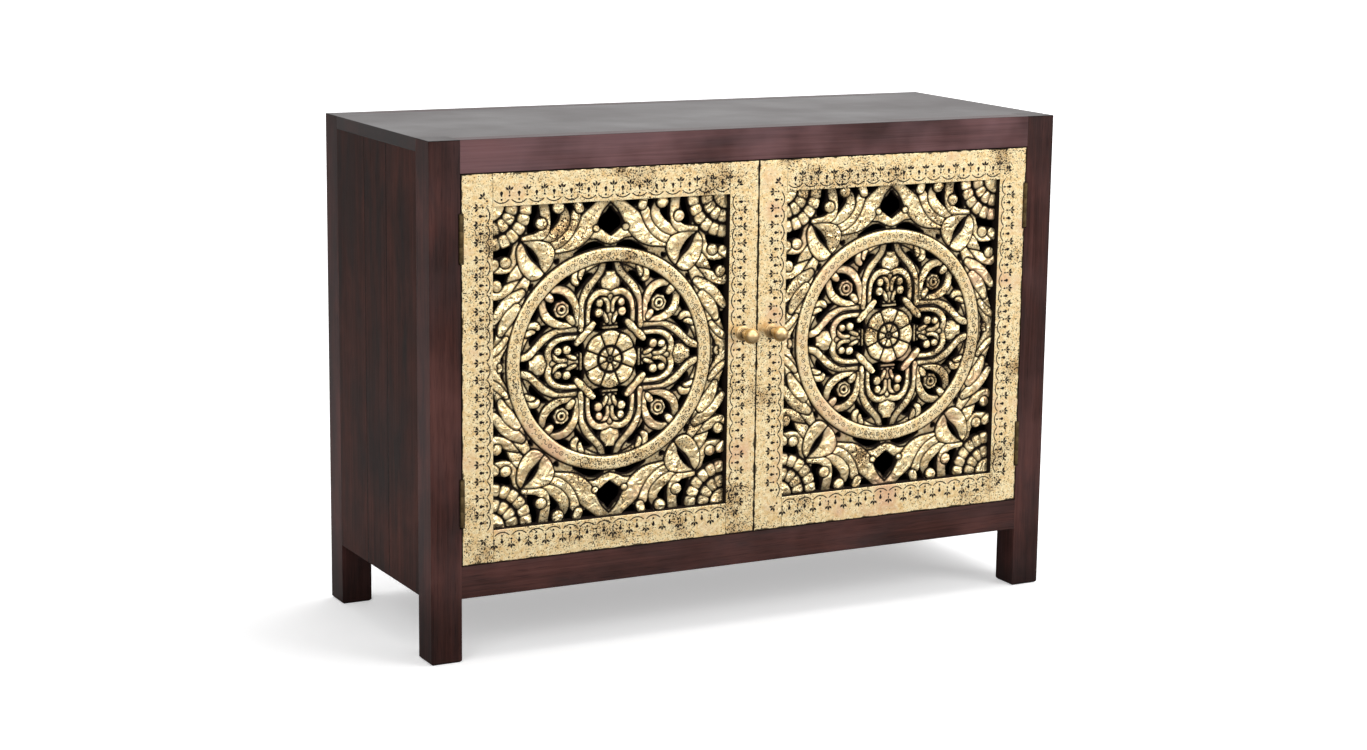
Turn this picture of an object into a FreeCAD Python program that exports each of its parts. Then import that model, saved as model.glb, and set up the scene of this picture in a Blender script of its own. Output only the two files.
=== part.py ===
"""Two-door sideboard on square legs, with pierced carved panels in gilded door frames.

Millimetres, +Z up, doors facing -Y. The origin is the middle of the footprint at the floor,
where the footprint reaches from the front of the knobs to the back of the case.
"""
import FreeCAD
import Part
import Sketcher
import math
import os
import re

doc = FreeCAD.newDocument("carved_cabinet")

# Every driving size, written once.
SIZES = (
    ("case_width", 1110, "over the outer faces of the posts"),
    ("case_depth", 430, "over the front and back faces of the posts"),
    ("case_height", 800, "floor to top"),
    ("leg_height", 100, "floor to the underside of the lower rails"),
    ("post_side", 50, "square section of a post"),
    ("foot_chamfer", 3, "worn edge round the foot of a post"),
    ("rail_height", 50, "face of a case rail"),
    ("rail_thick", 40, "front to back of a case rail"),
    ("tenon_length", 30, "rail tenon in a post"),
    ("tenon_thick", 12, "rail tenon, front to back"),
    ("tenon_shoulder", 8, "rail face above and below its tenon"),
    ("tenon_setback", 12, "rail face to the tenon's cheek"),
    ("joint_clear", 0.2, "glue room round a tenon, tongue or hinge leaf"),
    ("side_thick", 20, "side planks"),
    ("front_plank", 121, "width of the front side plank"),
    ("middle_plank", 91, "width of the middle side plank"),
    ("tongue_thick", 8, "tongue of a side plank in a post"),
    ("tongue_depth", 10, "tongue of a side plank in a post"),
    ("top_thick", 20, "top board"),
    ("bottom_thick", 15, "bottom board"),
    ("ledge_width", 10, "rail rebate that carries a board"),
    ("back_thick", 6, "back panel"),
    ("back_lap", 8, "back panel over each rebate"),
    ("shelf_thick", 18, "shelf"),
    ("shelf_level", 450, "floor to the top of the shelf"),
    ("shelf_setback", 60, "case face to the shelf's front edge"),
    ("shelf_clear", 0.5, "shelf to the side planks, posts and back"),
    ("cleat_side", 20, "square section of a shelf cleat"),
    ("door_gap", 2, "between door and case, and between the doors"),
    ("door_thick", 25, "door frame"),
    ("stile_width", 50, "door stile"),
    ("door_rail_height", 50, "door rail"),
    ("door_tenon_length", 30, "door rail tenon"),
    ("door_tenon_thick", 8, "door rail tenon, front to back"),
    ("door_tenon_shoulder", 5, "door rail edge to its tenon"),
    ("door_tenon_setback", 4, "door face to the tenon's cheek"),
    ("lip_thick", 14, "frame in front of the carved panel"),
    ("rebate_width", 8, "frame rebate behind its lip"),
    ("panel_clear", 0.5, "carved panel and backing to the rebate's wall"),
    ("ground_thick", 6, "pierced ground of the carved panel"),
    ("backing_thick", 4, "board behind the carved panel"),
    ("ring_margin", 26, "window edge to the carved ring"),
    ("ring_width", 23, "carved ring"),
    ("ring_rise", 6, "ring and bosses above the ground"),
    ("bar_rise", 4, "bars and petals above the ground"),
    ("rosette_radius", 47, "petals of the rosette"),
    ("rosette_eye", 19, "middle of the rosette"),
    ("boss_radius", 14, "boss in each almond"),
    ("hinge_length", 72, "butt hinge"),
    ("hinge_inset", 96, "door end to the middle of a hinge"),
    ("barrel_dia", 7, "hinge barrel"),
    ("pin_dia", 3.2, "hinge pin"),
    ("pin_clear", 0.05, "hinge pin in its bore"),
    ("pin_head", 1.6, "button on top of a pin"),
    ("knuckle_gap", 0.2, "between knuckles"),
    ("leaf_thick", 1.8, "hinge leaf, let in flush"),
    ("leaf_width", 22, "hinge leaf, front to back"),
    ("barrel_clear", 0.8, "wood and far leaf to the barrel"),
    ("screw_dia", 3, "shank of a hinge screw"),
    ("screw_head", 6, "countersunk head of a hinge screw"),
    ("screw_tip", 1.5, "shank at its tip"),
    ("screw_length", 16, "leaf face to the tip of the shank"),
    ("screw_pitch", 44, "between the two screws of a leaf"),
    ("screw_clear", 0.05, "screw in its hole"),
    ("ball_dia", 25, "knob"),
    ("ball_out", 30, "door face to the middle of the knob"),
    ("neck_dia", 13, "knob behind its ball"),
    ("bead_dia", 19, "ring turned on the neck"),
    ("bead_thick", 4, "ring turned on the neck"),
    ("rose_dia", 24, "plate under the knob"),
    ("rose_thick", 4, "plate under the knob"),
    ("rose_edge", 18, "small end of the plate's taper"),
    ("knob_rise", 26, "knob above the middle of the door"),
    ("bolt_dia", 4, "machine screw that holds the knob"),
    ("bolt_head_dia", 9, "its head"),
    ("bolt_head_thick", 3, "its head"),
    ("bolt_bite", 10, "its thread in the knob's neck, past the door face"),
    ("bolt_clear", 0.1, "machine screw in wood and rose"),
    ("catch_width", 44, "magnetic catch"),
    ("catch_height", 20, "magnetic catch"),
    ("catch_depth", 12, "magnetic catch"),
    ("catch_offset", 18, "middle of the case to the side of the catch"),
    ("strike_thick", 1.5, "steel plate on the door"),
    ("strike_margin", 3, "catch edge to the plate's edge"),
    ("strike_clear", 0.2, "plate to the face of the catch"),
    ("cut_over", 5, "how far a cutter passes the surface that it opens"),
)

# Small turned parts have flat sides, and a hinge has this many knuckles.
KNOB_SIDES = 16
KNOB_BANDS = 7
HINGE_SIDES = 10
SCREW_SIDES = 6
KNUCKLES = 3

sheet = doc.addObject("Spreadsheet::Sheet", "sizes")
for row, (alias, length, meaning) in enumerate(SIZES, start=1):
    sheet.set(f"A{row}", alias)
    sheet.set(f"B{row}", str(length))
    sheet.set(f"C{row}", meaning)
    sheet.setAlias(f"B{row}", alias)
doc.recompute()

# Planes that several pieces share, as formulas in the sheet's names.
FACE = "((ball_out + ball_dia / 2 - case_depth) / 2)"
REAR = "((ball_out + ball_dia / 2 + case_depth) / 2)"
OUTSIDE = "(-case_width / 2)"
POST_INSIDE = "(post_side - case_width / 2)"
SIDE_INSIDE = "(side_thick - case_width / 2)"
BOARD_FRONT = f"({FACE} + rail_thick - ledge_width)"
BOARD_REAR = f"({REAR} - rail_thick + ledge_width)"
UPPER_RAIL = "(case_height - rail_height)"
LOWER_RAIL = "leg_height"
FLOOR_LEVEL = "(leg_height + rail_height)"
DOOR_HINGE_EDGE = f"({POST_INSIDE} + door_gap)"
DOOR_LOCK_EDGE = "(-door_gap / 2)"
DOOR_FOOT = f"({FLOOR_LEVEL} + door_gap)"
DOOR_HEAD = f"({UPPER_RAIL} - door_gap)"
DOOR_MIDDLE = f"(({DOOR_FOOT} + {DOOR_HEAD}) / 2)"
DOOR_BACK = f"({FACE} + door_thick)"
WINDOW_LEFT = f"({DOOR_HINGE_EDGE} + stile_width)"
WINDOW_RIGHT = f"({DOOR_LOCK_EDGE} - stile_width)"
WINDOW_FOOT = f"({DOOR_FOOT} + door_rail_height)"
WINDOW_HEAD = f"({DOOR_HEAD} - door_rail_height)"
WINDOW_CENTRE = f"(({WINDOW_LEFT} + {WINDOW_RIGHT}) / 2)"
HINGE_AXIS = f"({POST_INSIDE} + door_gap / 2)"
HINGE_MIDDLES = (f"({DOOR_FOOT} + hinge_inset)", f"({DOOR_HEAD} - hinge_inset)")
SCREW_ROW = f"({FACE} + (barrel_dia / 2 + leaf_width) / 2)"
KNOB_AXIS = f"({DOOR_LOCK_EDGE} - stile_width / 2)"
KNOB_LEVEL = f"({DOOR_MIDDLE} + knob_rise)"
CATCH_FACE = f"({DOOR_BACK} + strike_thick + strike_clear)"
SHELF_FRONT = f"({FACE} + shelf_setback)"

pieces = []


def size(alias):
    return float(sheet.get(alias))


def formula(text):
    return re.sub(r"[a-z_]+", lambda word: "sizes." + word.group(), text)


def bind(item, **formulas):
    for name, text in formulas.items():
        item.setExpression(name, formula(text))


def place(item, x, y, z):
    for axis, text in zip("xyz", (x, y, z)):
        item.setExpression(f"Placement.Base.{axis}", formula(text))


def keep(item, label):
    item.Label = label
    pieces.append(item)
    return item


def block(x, y, z):
    """A board between a low and a high plane along each axis."""
    item = doc.addObject("Part::Box", "block")
    bind(item, Length=f"{x[1]} - {x[0]}", Width=f"{y[1]} - {y[0]}", Height=f"{z[1]} - {z[0]}")
    place(item, x[0], y[0], z[0])
    return item


def rod(radius, length, start, towards="z"):
    """A round bar from a start point, along +z, +x or +y."""
    item = doc.addObject("Part::Cylinder", "rod")
    item.Placement.Rotation = turn_towards(towards)
    bind(item, Radius=radius, Height=length)
    place(item, *start)
    return item


def turned(sides, stations, start, towards="z"):
    """A flat-sided bar round its axis: each station is a distance along it and a radius there."""
    step = math.tau / sides
    rings = [
        [
            FreeCAD.Vector(radius * math.cos(side * step), radius * math.sin(side * step), distance)
            for side in range(sides)
        ]
        for distance, radius in stations
    ]
    faces = [Part.Face(Part.makePolygon(ring + ring[:1])) for ring in (rings[0], rings[-1])]
    for low, high in zip(rings, rings[1:]):
        for here in range(sides):
            corners = [low[here - 1], low[here], high[here], high[here - 1]]
            faces.append(Part.Face(Part.makePolygon(corners + corners[:1])))
    item = doc.addObject("Part::Feature", "turned")
    item.Shape = Part.makeSolid(Part.makeShell(faces)).removeSplitter()
    item.Placement.Rotation = turn_towards(towards)
    place(item, *start)
    return item


def corner_reach(radius, sides):
    """The corner radius of a flat-sided hole that clears a round one."""
    return radius / math.cos(math.pi / sides)


def turn_towards(towards):
    directions = {
        "x": FreeCAD.Vector(1, 0, 0),
        "-x": FreeCAD.Vector(-1, 0, 0),
        "y": FreeCAD.Vector(0, 1, 0),
        "-y": FreeCAD.Vector(0, -1, 0),
        "z": FreeCAD.Vector(0, 0, 1),
    }
    return FreeCAD.Rotation(directions["z"], directions[towards])


def fuse(parts):
    if len(parts) == 1:
        return parts[0]
    item = doc.addObject("Part::MultiFuse", "fuse")
    item.Shapes = parts
    item.Refine = True
    return item


def cut(base, tools):
    item = doc.addObject("Part::Cut", "cut")
    item.Base = base
    item.Tool = fuse(tools)
    item.Refine = True
    return item


def group(parts):
    item = doc.addObject("Part::Compound", "group")
    item.Links = parts
    return item


def mirrored(source, label):
    """The same piece on the right-hand side of the case."""
    item = doc.addObject("Part::Mirroring", "mirrored")
    item.Source = source
    item.Normal = FreeCAD.Vector(1, 0, 0)
    return keep(item, label)


def pair(item, label):
    keep(item, label + "_left")
    mirrored(item, label + "_right")


def square_bar(name, side, length, chamfer):
    """A square bar standing on its chamfered end, with a corner at the body's origin."""
    body = doc.addObject("PartDesign::Body", name)
    plane = [item for item in body.Origin.OriginFeatures if item.Role == "XY_Plane"][0]
    sketch = body.newObject("Sketcher::SketchObject", name + "_section")
    sketch.AttachmentSupport = (plane, [""])
    sketch.MapMode = "FlatFace"
    reach = size(side)
    corners = [FreeCAD.Vector(x, y, 0) for x, y in ((0, 0), (reach, 0), (reach, reach), (0, reach))]
    for first, last in zip(corners, corners[1:] + corners[:1]):
        sketch.addGeometry(Part.LineSegment(first, last), False)
    for line in range(len(corners)):
        sketch.addConstraint(Sketcher.Constraint("Coincident", line, 2, (line + 1) % len(corners), 1))
    sketch.addConstraint([Sketcher.Constraint("Horizontal", line) for line in (0, 2)])
    sketch.addConstraint([Sketcher.Constraint("Vertical", line) for line in (1, 3)])
    sketch.addConstraint(Sketcher.Constraint("Coincident", 0, 1, -1, 1))
    for kind, line in (("DistanceX", 0), ("DistanceY", 1)):
        constraint = sketch.addConstraint(Sketcher.Constraint(kind, line, 1, line, 2, reach))
        sketch.setExpression(f"Constraints[{constraint}]", formula(side))
    pad = body.newObject("PartDesign::Pad", name + "_length")
    pad.Profile = sketch
    bind(pad, Length=length)
    doc.recompute()
    foot = [
        f"Edge{number}"
        for number, edge in enumerate(pad.Shape.Edges, start=1)
        if edge.BoundBox.ZMax == 0
    ]
    bevel = body.newObject("PartDesign::Chamfer", name + "_foot")
    bevel.Base = (pad, foot)
    bind(bevel, Size=chamfer)
    body.Tip = bevel
    return body


def plus(text, clearance):
    return f"({text} + {clearance})"


def minus(text, clearance):
    return f"({text} - {clearance})"


def tenon_span(rail_foot, clearance="0"):
    """Heights between which a case rail's tenon lies."""
    low = f"({rail_foot} + tenon_shoulder - {clearance})"
    high = f"({rail_foot} + rail_height - tenon_shoulder + {clearance})"
    return low, high


def tenon_depth(rail_is_front, clearance="0"):
    """Front and back cheeks of a case rail's tenon."""
    if rail_is_front:
        near = f"({FACE} + tenon_setback)"
        return minus(near, clearance), f"({near} + tenon_thick + {clearance})"
    far = f"({REAR} - tenon_setback)"
    return f"({far} - tenon_thick - {clearance})", plus(far, clearance)


def rail_mortises(rail_is_front):
    """Two sockets in the inner face of a left post."""
    x = (f"({POST_INSIDE} - tenon_length - joint_clear)", plus(POST_INSIDE, "cut_over"))
    y = tenon_depth(rail_is_front, "joint_clear")
    return [block(x, y, tenon_span(foot, "joint_clear")) for foot in (LOWER_RAIL, UPPER_RAIL)]


def tongue_across(clearance="0"):
    """Outer and inner cheeks of a side plank's tongue."""
    middle = f"({OUTSIDE} + side_thick / 2)"
    return (
        f"({middle} - tongue_thick / 2 - {clearance})",
        f"({middle} + tongue_thick / 2 + {clearance})",
    )


def case_rail(rail_is_front, foot, board_thick, back_rebate):
    """A rail with a tenon at each end and a ledge for the top or bottom board."""
    across = (POST_INSIDE, f"(-{POST_INSIDE})")
    if rail_is_front:
        depth = (FACE, plus(FACE, "rail_thick"))
        ledge = (minus(depth[1], "ledge_width"), plus(depth[1], "cut_over"))
    else:
        depth = (minus(REAR, "rail_thick"), REAR)
        ledge = (minus(depth[0], "cut_over"), plus(depth[0], "ledge_width"))
    height = (foot, plus(foot, "rail_height"))
    over = (minus(across[0], "cut_over"), plus(across[1], "cut_over"))
    cutters = [block(over, ledge, (minus(height[1], board_thick), plus(height[1], "cut_over")))]
    if back_rebate:
        lap = (minus(REAR, "back_thick"), plus(REAR, "cut_over"))
        cutters.append(block(over, lap, back_rebate))
    rail = cut(block(across, depth, height), cutters)
    tenons = block(
        (minus(across[0], "tenon_length"), plus(across[1], "tenon_length")),
        tenon_depth(rail_is_front),
        tenon_span(foot),
    )
    return fuse([rail, tenons])


def case_posts():
    """Front posts carry the hinges; rear posts are rebated for the back panel."""
    groove_height = (LOWER_RAIL, "(case_height - top_thick + cut_over)")
    front_post = square_bar("post_front", "post_side", "case_height", "foot_chamfer")
    place(front_post, OUTSIDE, FACE, "0")
    front_groove = block(
        tongue_across("joint_clear"),
        (f"({FACE} + post_side - tongue_depth - joint_clear)", f"({FACE} + post_side + cut_over)"),
        groove_height,
    )
    cutters = rail_mortises(True) + [front_groove] + hinge_housings("post")
    pair(cut(front_post, cutters), "post_front")

    rear_post = square_bar("post_rear", "post_side", "case_height", "foot_chamfer")
    place(rear_post, OUTSIDE, minus(REAR, "post_side"), "0")
    rear_groove = block(
        tongue_across("joint_clear"),
        (f"({REAR} - post_side - cut_over)", f"({REAR} - post_side + tongue_depth + joint_clear)"),
        groove_height,
    )
    back_rebate = block(
        (minus(POST_INSIDE, "back_lap"), plus(POST_INSIDE, "cut_over")),
        (minus(REAR, "back_thick"), plus(REAR, "cut_over")),
        (minus(FLOOR_LEVEL, "back_lap"), plus(UPPER_RAIL, "back_lap")),
    )
    pair(cut(rear_post, rail_mortises(False) + [rear_groove, back_rebate]), "post_rear")


def case_rails():
    keep(case_rail(True, UPPER_RAIL, "top_thick", None), "rail_front_top")
    keep(case_rail(True, LOWER_RAIL, "bottom_thick", None), "rail_front_bottom")
    lap_top = (minus(UPPER_RAIL, "cut_over"), plus(UPPER_RAIL, "back_lap"))
    lap_bottom = (minus(FLOOR_LEVEL, "back_lap"), plus(FLOOR_LEVEL, "cut_over"))
    keep(case_rail(False, UPPER_RAIL, "top_thick", lap_top), "rail_rear_top")
    keep(case_rail(False, LOWER_RAIL, "bottom_thick", lap_bottom), "rail_rear_bottom")


def side_planks():
    """Three planks glued edge to edge; the outer two have a tongue in a post's groove."""
    across = (OUTSIDE, SIDE_INSIDE)
    height = (LOWER_RAIL, "(case_height - top_thick)")
    near = f"({FACE} + post_side)"
    far = f"({REAR} - post_side)"
    first_joint = plus(near, "front_plank")
    second_joint = plus(first_joint, "middle_plank")
    front_tongue = block(tongue_across(), (minus(near, "tongue_depth"), first_joint), height)
    rear_tongue = block(tongue_across(), (second_joint, plus(far, "tongue_depth")), height)
    pair(fuse([block(across, (near, first_joint), height), front_tongue]), "side_plank_front")
    pair(block(across, (first_joint, second_joint), height), "side_plank_middle")
    pair(fuse([block(across, (second_joint, far), height), rear_tongue]), "side_plank_rear")


def notched_board(half_width, depth, height, corner, clearance):
    """A board from side to side, notched at each corner round a post."""
    board = block((half_width, f"(-{half_width})"), depth, height)
    tall = (minus(height[0], "cut_over"), plus(height[1], "cut_over"))
    notches = []
    for low, high in (
        (minus(half_width, "cut_over"), plus(corner, clearance)),
        (f"(-{corner} - {clearance})", f"(-{half_width} + cut_over)"),
    ):
        front_notch = (minus(depth[0], "cut_over"), f"({FACE} + post_side + {clearance})")
        rear_notch = (f"({REAR} - post_side - {clearance})", plus(depth[1], "cut_over"))
        if depth[0] != SHELF_FRONT:
            notches.append(block((low, high), front_notch, tall))
        notches.append(block((low, high), rear_notch, tall))
    return cut(board, notches)


def boards():
    """The top shows its end grain at the sides; the bottom and the shelf lie inside them."""
    depth = (BOARD_FRONT, BOARD_REAR)
    top_height = ("(case_height - top_thick)", "case_height")
    keep(notched_board(OUTSIDE, depth, top_height, POST_INSIDE, "0"), "top_board")
    bottom_height = (minus(FLOOR_LEVEL, "bottom_thick"), FLOOR_LEVEL)
    keep(notched_board(SIDE_INSIDE, depth, bottom_height, POST_INSIDE, "0"), "bottom_board")
    shelf_depth = (SHELF_FRONT, f"({REAR} - back_thick - shelf_clear)")
    shelf_height = ("(shelf_level - shelf_thick)", "shelf_level")
    half = plus(SIDE_INSIDE, "shelf_clear")
    keep(notched_board(half, shelf_depth, shelf_height, POST_INSIDE, "shelf_clear"), "shelf")


def cleats_and_back():
    """A cleat on each side carries the shelf; a thin panel closes the back."""
    cleat_height = ("(shelf_level - shelf_thick - cleat_side)", "(shelf_level - shelf_thick)")
    cleat_depth = (SHELF_FRONT, f"({REAR} - post_side)")
    pair(block((SIDE_INSIDE, plus(SIDE_INSIDE, "cleat_side")), cleat_depth, cleat_height), "shelf_cleat")
    half = minus(POST_INSIDE, "back_lap")
    back_height = (minus(FLOOR_LEVEL, "back_lap"), plus(UPPER_RAIL, "back_lap"))
    keep(block((half, f"(-{half})"), (minus(REAR, "back_thick"), REAR), back_height), "back_panel")


def hinge_housings(side):
    """Cutters for both hinges in a post or a hinge stile: barrel notch, leaf recess, screw holes."""
    cutters = []
    if side == "post":
        recess = (minus(POST_INSIDE, "leaf_thick"), plus(POST_INSIDE, "cut_over"))
    else:
        recess = (minus(DOOR_HINGE_EDGE, "cut_over"), plus(DOOR_HINGE_EDGE, "leaf_thick"))
    for middle in HINGE_MIDDLES:
        reach = "(hinge_length / 2 + pin_head + barrel_clear)"
        notch = rod(
            "barrel_dia / 2 + barrel_clear",
            f"2 * {reach}",
            (HINGE_AXIS, FACE, minus(middle, reach)),
        )
        leaf = block(
            recess,
            (minus(FACE, "cut_over"), f"({FACE} + leaf_width + joint_clear)"),
            (f"({middle} - hinge_length / 2 - joint_clear)", f"({middle} + hinge_length / 2 + joint_clear)"),
        )
        cutters += [notch, leaf]
        for level in screw_levels(middle):
            start = (recess[0] if side == "post" else recess[1], SCREW_ROW, level)
            radius = size("screw_dia") / 2 + size("screw_clear")
            depth = size("screw_length") - size("leaf_thick") + size("screw_clear")
            towards = "-x" if side == "post" else "x"
            cutters.append(turned(SCREW_SIDES, ((0, radius), (depth, radius)), start, towards))
    return cutters


def screw_levels(middle):
    return f"({middle} - screw_pitch / 2)", f"({middle} + screw_pitch / 2)"


def hinge_leaf(side, middle):
    """A plate with its knuckles: the outer ones on the post's leaf, those between on the door's."""
    foot = f"({middle} - hinge_length / 2)"
    height = (foot, f"({middle} + hinge_length / 2)")
    if side == "post":
        across = (minus(POST_INSIDE, "leaf_thick"), POST_INSIDE)
        face, towards = across[1], "-x"
        open_knuckles = range(1, KNUCKLES, 2)
        overrun = "0"
    else:
        across = (DOOR_HINGE_EDGE, plus(DOOR_HINGE_EDGE, "leaf_thick"))
        face, towards = across[0], "x"
        open_knuckles = range(0, KNUCKLES, 2)
        overrun = "knuckle_gap"
    plate = block(across, (FACE, plus(FACE, "leaf_width")), height)
    start = (HINGE_AXIS, FACE, foot)
    reach = size("hinge_length")
    barrel = turned(HINGE_SIDES, ((0, size("barrel_dia") / 2), (reach, size("barrel_dia") / 2)), start)
    bore = corner_reach(size("pin_dia") / 2 + size("pin_clear"), HINGE_SIDES)
    cutters = [turned(HINGE_SIDES, ((0, bore), (reach, bore)), start)]
    for knuckle in open_knuckles:
        opening = (HINGE_AXIS, FACE, f"({foot} + hinge_length * {knuckle} / {KNUCKLES} - {overrun})")
        length = f"hinge_length / {KNUCKLES} + 2 * {overrun}"
        cutters.append(rod("barrel_dia / 2 + barrel_clear / 2", length, opening))
    for level in screw_levels(middle):
        cutters.append(hinge_screw(face, level, towards, size("screw_clear")))
    return cut(fuse([plate, barrel]), cutters)


def hinge_screw(face, level, towards, clearance):
    """A wood screw whose countersunk head lies flush with its leaf and is as deep as the leaf."""
    stations = (
        (0, size("screw_head") / 2 + clearance),
        (size("leaf_thick"), size("screw_dia") / 2 + clearance),
        (size("screw_length"), size("screw_tip") / 2 + clearance),
    )
    return turned(SCREW_SIDES, stations, (face, SCREW_ROW, level), towards)


def hinge_pin(middle):
    """A pin with a button on top."""
    shaft = size("pin_dia") / 2
    button = size("barrel_dia") / 2
    length = size("hinge_length")
    top = length + size("pin_head")
    stations = ((0, shaft), (length, shaft), (length, button), (top, button))
    return turned(HINGE_SIDES, stations, (HINGE_AXIS, FACE, f"({middle} - hinge_length / 2)"))


def hinges():
    """Both hinges of a door share nodes: post leaves, door leaves, pins and screws."""
    for side, face, towards in (("post", POST_INSIDE, "-x"), ("door", DOOR_HINGE_EDGE, "x")):
        pair(group([hinge_leaf(side, middle) for middle in HINGE_MIDDLES]), f"hinge_leaves_{side}")
        screws = [
            hinge_screw(face, level, towards, 0)
            for middle in HINGE_MIDDLES
            for level in screw_levels(middle)
        ]
        pair(group(screws), f"hinge_screws_{side}")
    pair(group([hinge_pin(middle) for middle in HINGE_MIDDLES]), "hinge_pins")


def door_tenon(rail_foot, edge_is_low, clearance="0"):
    """Heights of a door rail's tenon, clear of the rebate on the window side."""
    edge = f"(door_tenon_shoulder - {clearance})"
    inner = f"(rebate_width - {clearance})"
    if edge_is_low:
        return plus(rail_foot, edge), f"({rail_foot} + door_rail_height - {inner})"
    return plus(rail_foot, inner), f"({rail_foot} + door_rail_height - {edge})"


def door_frame():
    """Stiles run the whole height; the rails between them have stub tenons. A rebate holds the panel."""
    depth = (FACE, DOOR_BACK)
    cheek = plus(FACE, "door_tenon_setback")
    window = (WINDOW_LEFT, WINDOW_RIGHT)
    rebate = block(
        (minus(WINDOW_LEFT, "rebate_width"), plus(WINDOW_RIGHT, "rebate_width")),
        (plus(FACE, "lip_thick"), plus(DOOR_BACK, "cut_over")),
        (minus(WINDOW_FOOT, "rebate_width"), plus(WINDOW_HEAD, "rebate_width")),
    )
    mortises = []
    for name, foot, edge_is_low in (
        ("door_rail_bottom", DOOR_FOOT, True),
        ("door_rail_top", WINDOW_HEAD, False),
    ):
        rail = cut(block(window, depth, (foot, plus(foot, "door_rail_height"))), [rebate])
        tenons = block(
            (minus(WINDOW_LEFT, "door_tenon_length"), plus(WINDOW_RIGHT, "door_tenon_length")),
            (cheek, plus(cheek, "door_tenon_thick")),
            door_tenon(foot, edge_is_low),
        )
        pair(fuse([rail, tenons]), name)
        mortises.append(block(
            (
                f"({WINDOW_LEFT} - door_tenon_length - joint_clear)",
                f"({WINDOW_RIGHT} + door_tenon_length + joint_clear)",
            ),
            (minus(cheek, "joint_clear"), f"({cheek} + door_tenon_thick + joint_clear)"),
            door_tenon(foot, edge_is_low, "joint_clear"),
        ))
    height = (DOOR_FOOT, DOOR_HEAD)
    hinge_stile = block((DOOR_HINGE_EDGE, WINDOW_LEFT), depth, height)
    pair(cut(hinge_stile, [rebate] + mortises + hinge_housings("door")), "door_stile_hinge")
    lock_stile = block((WINDOW_RIGHT, DOOR_LOCK_EDGE), depth, height)
    bolt_hole = size("bolt_dia") / 2 + size("bolt_clear")
    through = size("door_thick") + 2 * size("cut_over")
    drill = turned(
        HINGE_SIDES,
        ((0, bolt_hole), (through, bolt_hole)),
        (KNOB_AXIS, minus(FACE, "cut_over"), KNOB_LEVEL),
        "y",
    )
    pair(cut(lock_stile, [rebate, drill] + mortises), "door_stile_lock")


def ball_stations(centre, radius, neck):
    """From where the neck meets the ball to the front of the ball."""
    first = math.asin(neck / radius)
    step = (math.pi - first) / KNOB_BANDS
    stations = []
    for band in range(KNOB_BANDS):
        angle = first + band * step
        stations.append((centre - radius * math.cos(angle), radius * math.sin(angle)))
    stations.append((centre + radius, radius * math.sin(step) / 2))
    return stations


def knob():
    """A brass ball turned with its neck and a bead, on a rose, held by a screw from behind."""
    neck = size("neck_dia") / 2
    bead = size("bead_dia") / 2
    seat = (KNOB_AXIS, minus(FACE, "rose_thick"), KNOB_LEVEL)
    profile = [(0, bead), (size("bead_thick"), bead), (size("bead_thick"), neck)]
    profile += ball_stations(size("ball_out") - size("rose_thick"), size("ball_dia") / 2, neck)
    bolt = size("bolt_dia") / 2
    thread = ((0, bolt), (size("bolt_bite") - size("rose_thick"), bolt))
    turned_knob = turned(KNOB_SIDES, profile, seat, "-y")
    pair(cut(turned_knob, [turned(HINGE_SIDES, thread, seat, "-y")]), "knob")
    on_door = (KNOB_AXIS, FACE, KNOB_LEVEL)
    rose_thick = size("rose_thick")
    rose = turned(KNOB_SIDES, ((0, size("rose_dia") / 2), (rose_thick, size("rose_edge") / 2)), on_door, "-y")
    hole = bolt + size("bolt_clear")
    pair(cut(rose, [turned(HINGE_SIDES, ((0, hole), (rose_thick, hole)), on_door, "-y")]), "knob_rose")
    head = size("bolt_head_thick")
    head_radius = size("bolt_head_dia") / 2
    tip = head + size("door_thick") + size("bolt_bite")
    screw = ((0, head_radius), (head, head_radius), (head, bolt), (tip, bolt))
    behind = (KNOB_AXIS, plus(DOOR_BACK, "bolt_head_thick"), KNOB_LEVEL)
    pair(turned(HINGE_SIDES, screw, behind, "-y"), "knob_screw")


def catch():
    """A magnet case under the top rail stops the door; a steel plate on the door meets it."""
    inner = "(-catch_offset)"
    outer = "(-catch_offset - catch_width)"
    case_height = (minus(UPPER_RAIL, "catch_height"), UPPER_RAIL)
    pair(block((outer, inner), (CATCH_FACE, plus(CATCH_FACE, "catch_depth")), case_height), "catch")
    strike_height = (plus(case_height[0], "strike_margin"), minus(DOOR_HEAD, "strike_margin"))
    strike_width = (plus(outer, "strike_margin"), minus(inner, "strike_margin"))
    pair(block(strike_width, (DOOR_BACK, plus(DOOR_BACK, "strike_thick")), strike_height), "strike_plate")


# Outlines of the carving as shares chosen from it, in straight cuts. Within the ring they are shares
# of its inner radius, for one side of the right-hand axis.
AXIS_HOLE_SHARES = ((0.90, 0.03), (1.02, 0.045), (1.02, -0.045), (0.90, -0.03))
SCROLL_HOLE_SHARES = (
    (0.31, 0.10), (0.30, 0.18), (0.375, 0.25), (0.47, 0.255), (0.555, 0.22), (0.61, 0.155),
    (0.46, 0.16), (0.43, 0.09),
)
CORNER_HOLE_SHARES = ((0.71, 0.185), (0.79, 0.14), (0.715, 0.105))
LEAF_HOLE_SHARES = ((0.88, 0.21), (0.885, 0.265), (0.775, 0.38), (0.685, 0.385), (0.78, 0.30))
RING_HOLE_SHARES = ((0.79, 0.66), (1.0, 0.55), (0.925, 0.43), (0.80, 0.50))
ALMOND_HOLE_SHARES = (
    (0.45, 0.405), (0.54, 0.40), (0.61, 0.42), (0.665, 0.465), (0.70, 0.54), (0.72, 0.65),
    (0.665, 0.555), (0.61, 0.49), (0.54, 0.445),
)

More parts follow.
